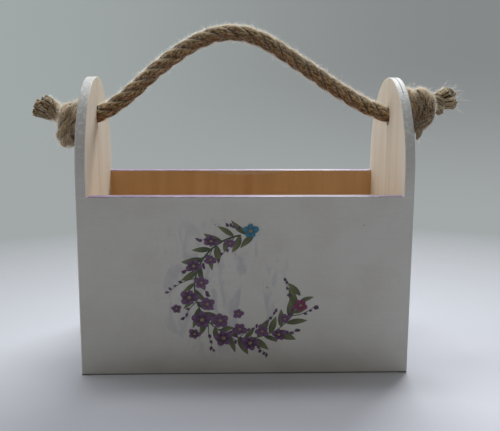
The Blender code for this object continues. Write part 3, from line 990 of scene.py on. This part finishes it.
class BOX_OT_rope_arch(bpy.types.Operator):
    """Lay the rope's arch over the box from one hole to the other"""
    bl_idname = "box.rope_arch"
    bl_label = "Rope arch"

    def execute(self, context):
        rope = context.scene.box_rope
        stations = [s for s in rope_stations(rope) if abs(s.place.x) <= MID_WALL_X]
        shell = ([], [], [])
        for number in range(STRANDS):
            add_strand(shell, stations, number)
        arch = add_rope_piece("rope_arch", shell, jute_material(rope, 0.0))
        return {"FINISHED"}


FRAY_LENGTH = 14 * MM
FRAY_OVERLAP = 10 * MM


class BOX_OT_knots(bpy.types.Operator):
    """Tie the overhand knot outside each end panel"""
    bl_idname = "box.knots"
    bl_label = "Knots"

    def execute(self, context):
        rope = context.scene.box_rope
        whole = rope_stations(rope)
        end = whole[-1].along
        held = [s for s in whole if FRAY_LENGTH <= s.along <= end - FRAY_LENGTH]
        # The left knot gets a share of painted highlight
        for name, x_sign, highlight_share in (("left_knot", -1, 0.2), ("right_knot", 1, 0.0)):
            material = jute_material(rope, 0.4, highlight_share, 0.3)
            stations = [s for s in held if x_sign * s.place.x >= MID_WALL_X]
            shell = ([], [], [])
            for number in range(STRANDS):
                add_strand(shell, stations, number, x_sign < 0, x_sign > 0)
            add_rope_piece(name, shell, material)
        return {"FINISHED"}


TAIL_YARNS = 54
TAIL_REACH = 0.45
BUNDLES = 7
BUNDLE_SWAY = 2.0 * MM
YARN_SWAY = 0.35 * MM
TWIST_HELD = 0.5
GOLDEN_TURN = 2.39996
YARN_RADIUS = 1.1 * MM
YARN_SIDES = 12
YARN_RINGS = 14
YARN_ROUGH = 0.22
YARN_ROUGH_LENGTH = 3 * MM
YARN_OPENS_FROM = 0.55

# A loose bundle's start, middle and end, in the knot's millimetres, with its number of yarns, its
# half width at the start and at the end, the radius of a yarn, and how far a yarn opens or tapers.
LOOSE_BUNDLES = (
    (((18.5, -8.0, -7.0), (17.6, -9.5, -13.0), (15.2, -10.5, -19.5)), 10, (3.4, 1.0), 0.9, -1.4),
    (((27.0, -5.0, 9.5), (32.0, -6.5, 6.0), (36.5, -7.0, 2.4)), 14, (2.4, 3.6), 1.0, 0.3),
)

# Each cut end: its side and that side's sign, its share of painted highlight, the number of loose
# fibres at each yarn's tip and their share of the full length, and the bundles that hang loose beside
# it
FRAYED_ENDS = (
    ("left", -1, 0.2, 2, 0.5, ()),
    ("right", 1, 0.55, 4, 1.0, LOOSE_BUNDLES),
)


def tail_stations(whole, x_sign):
    """The stations of one frayed end, from inside the strands out to the cut."""
    reach = FRAY_LENGTH + FRAY_OVERLAP
    end = whole[-1].along
    if x_sign > 0:
        return [s for s in whole if s.along >= end - reach]
    return [s for s in reversed(whole) if s.along <= reach]


def yarn_line(stations, seat, sway, cut):
    """Points along one yarn that turns with the rope and then runs straight to its cut end.

    The seat is the yarn's distance from the rope's middle, as a share of the rope, and its turn.
    """
    line = []
    last = len(stations) - 1
    reach, turn = seat
    held = stations[round(last * TWIST_HELD)].turned
    for k in range(YARN_RINGS):
        share = k / (YARN_RINGS - 1)
        position = share * cut * last
        i = min(int(position), last - 1)
        station = stations[i]
        place = station.place.lerp(stations[i + 1].place, position - i)
        width = station.width + (stations[i + 1].width - station.width) * (position - i)
        out = station_way(station, turn + (station.turned if share < TWIST_HELD else held))
        opened = reach * (0.7 + 0.3 * min(1.0, share / TWIST_HELD))
        line.append(place + out * (opened * width) + sway * (share * share))
    return line


def loose_line(ends, seat, spread, cut):
    """Points along one yarn of a bundle off the knot, spread from its start to its end."""
    first, middle, last = ends
    reach, turn = seat
    side = (last - first).orthogonal().normalized()
    up = (last - first).normalized().cross(side)
    line = []
    for k in range(YARN_RINGS):
        t = cut * k / (YARN_RINGS - 1)
        place = first * ((1 - t) * (1 - 2 * t)) + middle * (4 * t * (1 - t)) + last * (t * (2 * t - 1))
        out = round_way(side, up, turn + 1.5 * t)
        line.append(place + out * (reach * (spread[0] + (spread[1] - spread[0]) * t)))
    return line


def seats(number, widest):
    """Places for yarns spread evenly over a round bundle."""
    return [(widest * math.sqrt((k + 0.5) / number), k * GOLDEN_TURN) for k in range(number)]


def add_yarn(shell, line, radius, number, splay):
    """A spun yarn as a grooved tube that opens a little at its cut end."""
    rings = []
    uv_rows = []
    travelled = 0.0
    side = Vector((0.3, 1.0, 0.2))
    for i, place in enumerate(line):
        ahead = (line[min(i + 1, len(line) - 1)] - line[max(i - 1, 0)]).normalized()
        side = (side - ahead * side.dot(ahead)).normalized()
        over = ahead.cross(side)
        if i:
            travelled += (place - line[i - 1]).length
        share = i / (len(line) - 1)
        swell = 1 + splay * max(0.0, share - YARN_OPENS_FROM)
        ring = []
        row = []
        for k in range(YARN_SIDES + 1):
            row.append((k * YARNS_ROUND / YARN_SIDES + number * 3, travelled / UV_ALONG))
            if k < YARN_SIDES:
                along = travelled / YARN_ROUGH_LENGTH
                rough = noise.noise(Vector((k * 1.7 + number * 9.1, along, 0.0)))
                out = round_way(side, over, 2 * math.pi * k / YARN_SIDES)
                ring.append(place + out * (radius * swell * (1 + YARN_ROUGH * rough)))
        rings.append(ring)
        uv_rows.append(row)
    add_tube(shell, rings, uv_rows)


FIBRE_RADII = (0.07 * MM, 0.12 * MM)
SHORT_FIBRE = 3.5 * MM
LONGEST_FIBRE = 9 * MM
LONGEST_WISP = 7 * MM
STRAY_SHARE = 0.08
STRAY_LENGTHS = (7 * MM, 12 * MM)
FIBRE_GLOW = 0.85


def random_way(rng, spread):
    """A vector in any direction, of about this length."""
    return Vector([rng.gauss(0, spread) for _ in range(3)])


def add_fibre(shell, base, leaving, bend, reach, radius):
    """One loose fibre: a thin tapered tube that curves away from where it leaves the rope."""
    rings = []
    across = leaving.orthogonal().normalized()
    over = leaving.cross(across).normalized()
    steps = 2 if reach < SHORT_FIBRE else 5
    for k in range(steps + 1):
        share = k / steps
        place = base + leaving * (reach * share) + bend * (reach * share * share)
        far = radius * (1.0 - 0.7 * share)
        rings.append([place + round_way(across, over, 2.1 * j) * far for j in range(3)])
    add_tube(shell, rings)


def add_wisps(shell, line, rng, number, grown):
    """Loose fibres round the cut end of a yarn, a few of them long and stray."""
    tip = line[-1]
    away = (line[-1] - line[-4]).normalized()
    for _ in range(number):
        spread = random_way(rng, 1.0)
        leaving = (away + 0.8 * spread).normalized()
        base = tip - away * (rng.uniform(0, 4) * MM) + spread * (0.45 * MM)
        reach = min(rng.expovariate(1 / (1.6 * MM)) + 0.8 * MM, LONGEST_WISP)
        if rng.random() < STRAY_SHARE:
            reach = rng.uniform(*STRAY_LENGTHS)
        curl = random_way(rng, 0.45)
        add_fibre(shell, base, leaving, curl, reach * grown, rng.uniform(*FIBRE_RADII))


def fuzz_material(rope):
    """Single jute fibres: thin and translucent, so they glow where light comes from behind."""
    material, tree, shader = new_material("loose_jute_fibre", 0.7, 1.45)
    shader.inputs["Specular IOR Level"].default_value = 0.3
    shader.inputs["Subsurface Weight"].default_value = FIBRE_GLOW
    shader.inputs["Subsurface Radius"].default_value = (1.0, 0.9, 0.75)
    shader.inputs["Subsurface Scale"].default_value = GLOW_DEPTH
    place, _ = place_and_axes(tree)
    tone = streaks(tree, place, EVEN, 6 * MM, 2.0)
    finish(tree, shader, laid_over(tree, rope.fuzz, rope.straw, tone, 0.4, 0.8))
    return material


def tail_yarns(stations, rng):
    """The line of each yarn at a cut end, with its radius and how far it opens, one by one."""
    sways = [random_way(rng, BUNDLE_SWAY) for _ in range(BUNDLES)]
    for seat in seats(TAIL_YARNS, TAIL_REACH):
        bundle = int(seat[1] * BUNDLES / (2 * math.pi)) % BUNDLES
        sway = sways[bundle] + random_way(rng, YARN_SWAY)
        cut = 1.0 - 0.12 * (seat[0] / TAIL_REACH) ** 2 - rng.uniform(0.0, 0.12)
        line = yarn_line(stations, seat, sway, cut)
        yield line, YARN_RADIUS * rng.uniform(0.8, 1.15), rng.uniform(0.1, 0.5)


def bundle_yarns(bundle, x_sign, rng):
    """The same for the yarns of one loose bundle."""
    points, yarns, spread, radius, splay = bundle
    ends = knot_places(points, x_sign)
    for seat in seats(yarns, 1.0):
        reaches = [s * MM * rng.uniform(0.8, 1.2) for s in spread]
        line = loose_line(ends, seat, reaches, rng.uniform(0.68, 1.05))
        yield line, radius * MM * rng.uniform(0.8, 1.15), splay


class BOX_OT_frayed_ends(bpy.types.Operator):
    """Open the rope's cut ends into their yarns"""
    bl_idname = "box.frayed_ends"
    bl_label = "Frayed ends"

    def execute(self, context):
        rope = context.scene.box_rope
        whole = rope_stations(rope)
        loose = fuzz_material(rope)
        for side, x_sign, highlight_share, wisps_each, grown, bundles in FRAYED_ENDS:
            rng = random.Random(side)
            yarns = ([], [], [])
            wisps = ([], [], [])
            groups = [tail_yarns(tail_stations(whole, x_sign), rng)]
            groups += [bundle_yarns(bundle, x_sign, rng) for bundle in bundles]
            for group in groups:
                for number, (line, radius, splay) in enumerate(group):
                    add_yarn(yarns, line, radius, number, splay)
                    add_wisps(wisps, line, rng, wisps_each, grown)
            add_rope_piece(f"{side}_frayed_end", yarns, jute_material(rope, 0.5, highlight_share))
            add_rope_piece(f"{side}_wisps", wisps, loose)
        return {"FINISHED"}


KNOT_REACH = 22 * MM
BARE_TIP = 7 * MM
BARE_AT_WALL = 1 * MM
FUZZ_DEPTH = 0.465


def in_wall(x):
    """Whether a place across the box lies inside an end panel or close to its faces."""
    return INNER_X - BARE_AT_WALL < abs(x) < OUTER_X + BARE_AT_WALL


def fuzz_way(station, angle):
    """The way out at this angle, turned round where it points into the knot."""
    out = station_way(station, angle)
    middle_x = math.copysign(OUTER_X + KNOT_REACH / 2, station.place.x)
    from_middle = station.place - Vector((middle_x, HINGE.y, HINGE.z))
    in_knot = OUTER_X < abs(station.place.x) < OUTER_X + KNOT_REACH
    return -out if in_knot and out.dot(from_middle) < 0 else out


class BOX_OT_fuzz(bpy.types.Operator):
    """Raise the fine fuzz of loose fibres along the rope"""
    bl_idname = "box.fuzz"
    bl_label = "Fuzz"

    def execute(self, context):
        rope = context.scene.box_rope
        rng = random.Random("fuzz")
        stations = rope_stations(rope)
        last = len(stations) - 1
        shells = {name: ([], [], []) for name in ("left_knot_fuzz", "arch_fuzz", "right_knot_fuzz")}
        for _ in range(rope.fuzz_count):
            station = stations[rng.randint(0, last)]
            at_tip = not BARE_TIP < station.along < stations[last].along - BARE_TIP
            if in_wall(station.place.x) or at_tip:
                continue
            on_knot = "right_knot_fuzz" if station.place.x > 0 else "left_knot_fuzz"
            shell = shells["arch_fuzz" if abs(station.place.x) < INNER_X else on_knot]
            out = fuzz_way(station, rng.uniform(0, 2 * math.pi))
            base = station.place + out * (station.width * FUZZ_DEPTH)
            sense = rng.choice((-1, 1))
            leaving = (out * rng.uniform(0.3, 1.3) + station.ahead * sense).normalized()
            bend = random_way(rng, 0.3)
            reach = min(rng.expovariate(1 / (1.0 * MM)) + 0.9 * MM, LONGEST_FIBRE)
            end = base + (leaving + bend) * reach
            if not in_wall(end.x):
                add_fibre(shell, base, leaving, bend, reach, rng.uniform(*FIBRE_RADII))
        material = fuzz_material(rope)
        for name, shell in shells.items():
            add_rope_piece(name, shell, material)
        return {"FINISHED"}


PRINT_LIFT = 0.01 * MM
PLATE_STEP = 0.0015 * MM
STEM_TAPER = 0.6
MAIN_STEM = 1.5 * MM
SPRIG_STEM = 0.7 * MM
MAIN_TURNS = range(98, 343, 6)
LEAF_TURNS = range(84, 352, 7)
SPRIG_TURNS = range(92, 350, 13)
BUDS_AT = (4, 6, 8, 9)
PETALS = 5
MIDDLE_SIDES = 12
MIDDLE_SHARE = 0.17

# Each blossom on the stem: its turn round the garland in degrees, and its distance from the stem
# and its reach in millimetres
BLOSSOMS = (
    (112, -4, 5.2), (128, 5, 6.4), (143, -5, 5.6), (158, 4, 7.4), (174, -5, 6.6),
    (190, 5, 8.6), (203, -7, 7.2), (216, 3, 9.6), (231, -7, 8.2), (245, 4, 9.2),
    (259, -7, 7.0), (272, 4, 8.2), (287, -4, 6.6), (302, 4, 7.0), (318, -3, 5.4),
    (222, 15, 6.0), (250, -19, 5.4), (197, 17, 5.2),
)

# The two blossoms of a colour of their own, with the turn of their first petal in radians
LONE_BLOSSOMS = (("teal", 88, 3, 7.6, 0.3), ("magenta", 340, 2, 7.0, 0.9))

# Each ink: the colours at a shape's root and tip, and the number of veins
INKS = {
    "violet": ("violet", "mauve", 5.0),
    "mauve": ("mauve", "mauve", 5.0),
    "leaf": ("leaf", "leaf", 2.5),
    "shade_leaf": ("shade_leaf", "leaf", 2.5),
    "teal": ("teal", "teal", 4.0),
    "magenta": ("magenta", "magenta", 4.0),
    "tan": ("tan", "tan", 3.0),
}
INK_ROOT = 0.7
INK_TIP = 1.35
INK_RIB = 1.5


def garland_place(flowers, turn, off=0.0):
    """A point on the front panel, off the garland's main stem by a distance."""
    reach = flowers.radius + off
    angle = math.radians(turn)
    return flowers.middle_x + reach * math.cos(angle), flowers.middle_z + reach * math.sin(angle)


def lifts(layer, paper):
    """How far the upper and the lower face of a printed shape stand off the panel."""
    low = PRINT_LIFT + layer * PLATE_STEP
    return low + paper, low


def add_plate(shell, outline, at, heading, layer, paper):
    """A flat paper shape on the front panel.

    Its outline holds lengths along and across its own heading, and runs counterclockwise as it is
    seen from the front, so that all faces look outward.
    """
    points, faces, uvs = shell
    cos, sin = math.cos(heading), math.sin(heading)
    long = max(along for along, _ in outline)
    wide = max(abs(across) for _, across in outline)
    first = len(points)
    corners = len(outline)
    for lift in lifts(layer, paper):
        for along, across in outline:
            x = at[0] + along * cos - across * sin
            z = at[1] + along * sin + across * cos
            points.append(Vector((x, FRONT_Y - lift, z)))
    corner = [(along / long, across / wide) for along, across in outline]
    faces.append(tuple(first + i for i in range(corners)))
    uvs.append(tuple(corner))
    faces.append(tuple(first + corners + i for i in reversed(range(corners))))
    uvs.append(tuple(reversed(corner)))
    for i in range(corners):
        j = (i + 1) % corners
        faces.append((first + i, first + corners + i, first + corners + j, first + j))
        uvs.append((corner[i], corner[i], corner[j], corner[j]))


def petal_outline(long, wide, notch, rng):
    """A rounded petal with a notch in its tip."""
    outline = []
    steps = 11
    for k in range(steps + 1):
        t = k / steps
        across = wide * math.sin(math.pi * t**0.8) ** 0.75
        along = long * t - notch * max(0.0, t - 0.86) * 4
        outline.append((along, across * rng.uniform(0.97, 1.03)))
    far_side = [(along, -across * rng.uniform(0.97, 1.03)) for along, across in outline[-2:0:-1]]
    return (outline + far_side)[::-1]


def leaf_outline(long, wide, droop):
    """A pointed leaf whose middle is bent to one side."""
    near = []
    far = []
    steps = 9
    for k in range(steps + 1):
        t = k / steps
        half = wide * math.sin(math.pi * t**0.85) ** 0.9
        bent = droop * math.sin(math.pi * t / 1.3)
        near.append((long * t, bent + half))
        far.append((long * t, bent - half))
    return far + near[-2:0:-1]


def add_stem(shell, line, thick, layer, paper):
    """A painted stem along a line of points, tapered to its end."""
    rings = []
    uv_rows = []
    last = len(line) - 1
    high, low = lifts(layer, paper)
    for i, (x, z) in enumerate(line):
        ax, az = line[max(i - 1, 0)]
        bx, bz = line[min(i + 1, last)]
        run = math.hypot(bx - ax, bz - az)
        half = thick / 2 * (1.0 - STEM_TAPER * i / last)
        aside_x, aside_z = -(bz - az) / run * half, (bx - ax) / run * half
        rings.append([
            Vector((x + side * aside_x, FRONT_Y - lift, z + side * aside_z))
            for side, lift in ((-1, high), (-1, low), (1, low), (1, high))
        ])
        uv_rows.append([(i / last, side) for side in (-1, -1, 1, 1, -1)])
    add_tube(shell, rings, uv_rows)


def print_material(name, deep, pale, veins):
    """Ink on thin napkin paper under varnish: deep at the root of each shape and paler at its tip.

    The ink lies in fine strokes about 0.3 mm wide, drawn here 0.5 mm wide so that they show.
    """
    material, tree, shader = new_material(name, 0.5, 1.5)
    uv = node(tree, "ShaderNodeUVMap", uv_map="UVMap")
    along, across = (node(tree, "ShaderNodeSeparateXYZ", (uv,), axis) for axis in "XY")
    place, _ = place_and_axes(tree)
    strokes = streaks(tree, uv, (0.8, veins, 1.0), 1.0, 3.0)
    blots = streaks(tree, place, EVEN, 3.0 * MM, 3.0)
    rise = node(tree, MATH, (strokes, 0.55, along), **TIMES_PLUS)
    from_rib = distance_from(tree, across, 0.0)
    tone = laid_over(tree, deep, pale, rise, 0.45, 1.25)
    tone = laid_over(tree, tone, scaled(pale, INK_RIB), from_rib, 0.2, 0.0, 0.35)
    finish(tree, shader, laid_over(tree, tone, deep, blots, 0.45, 0.7, 0.4))
    return material


def curved_line(start, heading, curl, long, steps=9):
    """Points of a stem that leaves a start along a heading and curls as it goes."""
    line = [start]
    for k in range(steps):
        turned = heading + curl * (k + 0.5) / steps
        x, z = line[-1]
        line.append((x + math.cos(turned) * long / steps, z + math.sin(turned) * long / steps))
    return line


def add_leaves(shells, flowers, layers, rng):
    """The main stem and the leaves that leave it on either side."""
    main = [garland_place(flowers, turn) for turn in MAIN_TURNS]
    add_stem(shells["shade_leaf"], main, MAIN_STEM, 0, flowers.paper)
    for turn in LEAF_TURNS:
        side = 1 if (turn // LEAF_TURNS.step) % 2 else -1
        root = garland_place(flowers, turn)
        heading = math.radians(turn + 90 - side * rng.uniform(38, 62))
        kind = rng.choice(("leaf", "shade_leaf", "leaf"))
        long = rng.uniform(11, 19) * MM
        outline = leaf_outline(long, long * rng.uniform(0.13, 0.19), rng.uniform(-1.6, 1.6) * MM)
        add_plate(shells[kind], outline, root, heading, next(layers), flowers.paper)


def add_sprigs(shells, flowers, layers, rng):
    """Thin sprigs off the main stem, each with a few buds near its tip."""
    for turn in SPRIG_TURNS:
        side = 1 if (turn // SPRIG_TURNS.step) % 2 else -1
        heading = math.radians(turn + 90 - side * rng.uniform(25, 75))
        curl, long = side * rng.uniform(0.2, 0.9), rng.uniform(15, 24) * MM
        line = curved_line(garland_place(flowers, turn), heading, curl, long)
        add_stem(shells["shade_leaf"], line, SPRIG_STEM, next(layers), flowers.paper)
        for k in BUDS_AT:
            bud = leaf_outline(rng.uniform(2.6, 4.2) * MM, rng.uniform(0.9, 1.4) * MM, 0.0)
            kind = rng.choice(("violet", "mauve", "violet"))
            bud_heading = heading + rng.uniform(-0.9, 0.9)
            add_plate(shells[kind], bud, line[k], bud_heading, next(layers), flowers.paper)


def add_blossom(shells, kind, at, size, tilt, flowers, layers, rng):
    """A five-petalled blossom seen a little from the side, with a round middle."""
    for k in range(PETALS):
        heading = 2 * math.pi * k / PETALS + tilt
        reach = size * rng.uniform(0.88, 1.08) * (1 - 0.18 * math.sin(heading) ** 2)
        outline = petal_outline(reach, reach * 0.36, reach * 0.22, rng)
        add_plate(shells[kind], outline, at, heading, next(layers), flowers.paper)
    turns = [2 * math.pi * k / MIDDLE_SIDES for k in range(MIDDLE_SIDES)]
    round_middle = [
        (size * MIDDLE_SHARE * math.cos(turn), size * MIDDLE_SHARE * math.sin(turn)) for turn in turns
    ]
    add_plate(shells["tan"], round_middle, at, 0.0, next(layers), flowers.paper)


class BOX_OT_flowers(bpy.types.Operator):
    """Lay the printed garland of small flowers on the front panel"""
    bl_idname = "box.flowers"
    bl_label = "Flower print"

    def execute(self, context):
        flowers = context.scene.box_flowers
        rng = random.Random("garland")
        layers = count(1)
        shells = {name: ([], [], []) for name in INKS}
        add_leaves(shells, flowers, layers, rng)
        add_sprigs(shells, flowers, layers, rng)
        blossoms = [
            ("violet" if i % 2 else "mauve", *place) for i, place in enumerate(BLOSSOMS)
        ]
        for kind, turn, off, size in blossoms:
            at = garland_place(flowers, turn, off * MM)
            add_blossom(shells, kind, at, size * MM, rng.uniform(0, 1.2), flowers, layers, rng)
        for kind, turn, off, size, tilt in LONE_BLOSSOMS:
            at = garland_place(flowers, turn, off * MM)
            add_blossom(shells, kind, at, size * MM, tilt, flowers, layers, rng)
        for name, (deep, pale, veins) in INKS.items():
            deep_ink = scaled(getattr(flowers, deep), INK_ROOT)
            pale_ink = scaled(getattr(flowers, pale), INK_TIP)
            material = print_material(f"printed_{name}_ink", deep_ink, pale_ink, veins)
            add_piece(f"flower_print_{name}", shells[name], material, "box")
        return {"FINISHED"}


FLOOR_RADIUS = 3.0
FADE_MIDDLE = (0.05, -0.3, 0.0)
FADE_FROM = 0.2
FADE_TO = 0.8
CAMERA_PLACE = Vector((-18.3, -695.7, 253.2)) * MM
CAMERA_DOWN = 11.30
CAMERA_RIGHT = 1.98
CAMERA_ROLL = 0.26
SENSOR_WIDTH = 36.0
NEAREST_SEEN = 0.01
LAMP_TARGET = Vector((0.0, 0.0, 0.1))
LAMP_DISTANCE = 2.2

# A lamp's name, its turn from straight behind and its height, both in degrees, and its size
LAMPS = (
    ("window", 17.0, 45.0, (1.3, 0.9)),
    ("ceiling", -25.0, 75.0, (0.5, 0.5)),
)


def floor_material(stage):
    """Matt paper that fades into the backdrop away from the box."""
    material, tree, shader = new_material("matt_paper", 0.9)
    shader.inputs["Specular IOR Level"].default_value = 0.2
    place, _ = place_and_axes(tree)
    fibre = streaks(tree, place, EVEN, 1.5 * MM, 2.0)
    finish(tree, shader, laid_over(tree, stage.floor, stage.floor_fibre, fibre, 0.3, 0.7, 0.15))
    far = node(tree, "ShaderNodeVectorMath", (place, FADE_MIDDLE), "Value", operation="DISTANCE")
    gone = node(tree, RANGE, (far, FADE_FROM, FADE_TO))
    clear = node(tree, "ShaderNodeBsdfTransparent")
    mixed = node(tree, "ShaderNodeMixShader", (gone, shader.outputs[0], clear))
    tree.links.new(mixed, tree.nodes["Material Output"].inputs["Surface"])
    return material


def room_light(tree, stage, x, y, z):
    """Soft light from all round, weaker from the front and from below."""
    behind = node(tree, RANGE, (y, -0.12, 0.3), **EASED)
    front = node(tree, RANGE, (z, 0.1, 0.9, stage.front_level, stage.top_level), **EASED)
    level = node(tree, MIX, (behind, front, stage.back_level), data_type="FLOAT")
    lean = node(tree, RANGE, (x, -1.0, -0.3, 2.6, 1.0), **EASED)
    shade = node(tree, RANGE, (x, -0.1, 0.5, 1.0, 0.75), **EASED)
    lean = node(tree, MATH, (lean, shade), **TIMES)
    level = node(tree, MATH, (level, lean), **TIMES)
    below = node(tree, RANGE, (z, -0.3, 0.0, 0.15, 1.0), **EASED)
    raised = node(tree, MATH, (level, below), **TIMES)
    tint = node(tree, MIX, (behind, stage.front_tint, stage.back_tint), **COLOUR)
    light = node(tree, "ShaderNodeCombineColor", (raised, raised, raised))
    return node(tree, MIX, (1.0, tint, light), blend_type="MULTIPLY", **COLOUR)


def plain_backdrop(tree, stage, x, z):
    """The plain grey that shows behind the floor's edge."""
    seen = laid_over(tree, stage.backdrop_left, stage.backdrop_right, x, -0.3, 0.3)
    return laid_over(tree, seen, stage.backdrop_low, z, 0.0, -0.2)


def build_world(stage):
    """The room's light, and the backdrop where the camera, a mirroring or a clear face shows it."""
    world = bpy.data.worlds.new("soft_room")
    world.use_nodes = True
    tree = world.node_tree
    toward = node(tree, "ShaderNodeTexCoord", output="Generated")
    x, y, z = (node(tree, "ShaderNodeSeparateXYZ", (toward,), axis) for axis in "XYZ")
    light = room_light(tree, stage, x, y, z)
    seen = plain_backdrop(tree, stage, x, z)
    camera, glossy, through = (
        node(tree, "ShaderNodeLightPath", output=f"Is {kind} Ray")
        for kind in ("Camera", "Glossy", "Transmission")
    )
    direct = node(tree, MATH, (camera, glossy), **LARGER)
    direct = node(tree, MATH, (direct, through), **LARGER)
    shown = node(tree, MIX, (direct, light, seen), **COLOUR)
    tree.links.new(shown, tree.nodes["Background"].inputs["Color"])
    bpy.context.scene.world = world


def add_lamp(name, turn, height, size, power, tint):
    """A soft lamp behind and above the box that points at it."""
    light = bpy.data.lights.new(name, "AREA")
    light.shape = "RECTANGLE"
    light.size, light.size_y = size
    light.energy = power
    light.color = tint[:3]
    lamp = bpy.data.objects.new(name, light)
    turn = math.radians(turn)
    rise = math.radians(height)
    toward = Vector((
        math.sin(turn) * math.cos(rise), math.cos(turn) * math.cos(rise), math.sin(rise),
    ))
    lamp.location = LAMP_TARGET + toward * LAMP_DISTANCE
    lamp.rotation_mode = "QUATERNION"
    lamp.rotation_quaternion = toward.to_track_quat("Z", "Y")
    bpy.context.scene.collection.objects.link(lamp)


def add_camera(scene, stage):
    """The camera that took the photograph, as fitted to the box's corners."""
    lens = bpy.data.cameras.new("photo_camera")
    lens.lens = stage.focal_length
    lens.sensor_width = SENSOR_WIDTH
    lens.clip_start = NEAREST_SEEN
    camera = bpy.data.objects.new("photo_camera", lens)
    camera.matrix_world = (
        Matrix.Translation(CAMERA_PLACE)
        @ Matrix.Rotation(math.radians(-CAMERA_RIGHT), 4, "Z")
        @ Matrix.Rotation(math.radians(90 - CAMERA_DOWN), 4, "X")
        @ Matrix.Rotation(math.radians(CAMERA_ROLL), 4, "Z")
    )
    scene.collection.objects.link(camera)
    scene.camera = camera


class BOX_OT_stage(bpy.types.Operator):
    """Set up the camera, the lamps, the floor and the backdrop"""
    bl_idname = "box.stage"
    bl_label = "Stage"

    def execute(self, context):
        scene = context.scene
        stage = scene.box_stage
        add_camera(scene, stage)
        for lamp, power in zip(LAMPS, (stage.window_power, stage.ceiling_power)):
            add_lamp(*lamp, power, stage.lamp_tint)
        build_world(stage)
        bpy.ops.mesh.primitive_circle_add(
            vertices=96, radius=FLOOR_RADIUS, fill_type="NGON", location=(0, 0, CAD_LOW.z),
        )
        floor = context.object
        floor.name = "floor"
        floor.data.materials.append(floor_material(stage))
        scene.view_settings.view_transform = "Standard"
        return {"FINISHED"}


GROUPS = (
    ("box_paint", PaintSettings, "Paint"),
    ("box_wood", WoodSettings, "Wood"),
    ("box_rope", RopeSettings, "Rope"),
    ("box_flowers", FlowerSettings, "Flower print"),
    ("box_stage", StageSettings, "Stage"),
)
OPERATORS = (
    BOX_OT_stage, BOX_OT_walls, BOX_OT_base, BOX_OT_pins, BOX_OT_seams, BOX_OT_rope_arch,
    BOX_OT_knots, BOX_OT_frayed_ends, BOX_OT_fuzz, BOX_OT_flowers,
)


class BOX_PT_sidebar(bpy.types.Panel):
    """The box's settings and the buttons that build its looks"""
    bl_label = "Rope-handled box"
    bl_idname = "BOX_PT_sidebar"
    bl_space_type = "VIEW_3D"
    bl_region_type = "UI"
    bl_category = "Box"

    def draw(self, context):
        for attribute, group, label in GROUPS:
            column = self.layout.column(align=True)
            column.label(text=label)
            for name in group.__annotations__:
                column.prop(getattr(context.scene, attribute), name)
        for operator in OPERATORS:
            self.layout.operator(operator.bl_idname)


def register():
    for attribute, group, _ in GROUPS:
        bpy.utils.register_class(group)
        setattr(bpy.types.Scene, attribute, PointerProperty(type=group))
    for operator in OPERATORS:
        bpy.utils.register_class(operator)
    bpy.utils.register_class(BOX_PT_sidebar)


def unregister():
    bpy.utils.unregister_class(BOX_PT_sidebar)
    for operator in reversed(OPERATORS):
        bpy.utils.unregister_class(operator)
    for attribute, group, _ in reversed(GROUPS):
        delattr(bpy.types.Scene, attribute)
        bpy.utils.unregister_class(group)


def main():
    register()
    bpy.ops.box.stage()
    bpy.ops.box.walls()
    bpy.ops.box.base()
    bpy.ops.box.pins()
    bpy.ops.box.seams()
    bpy.ops.box.rope_arch()
    bpy.ops.box.knots()
    bpy.ops.box.frayed_ends()
    bpy.ops.box.fuzz()
    bpy.ops.box.flowers()
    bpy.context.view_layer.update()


if __name__ == "__main__":
    main()
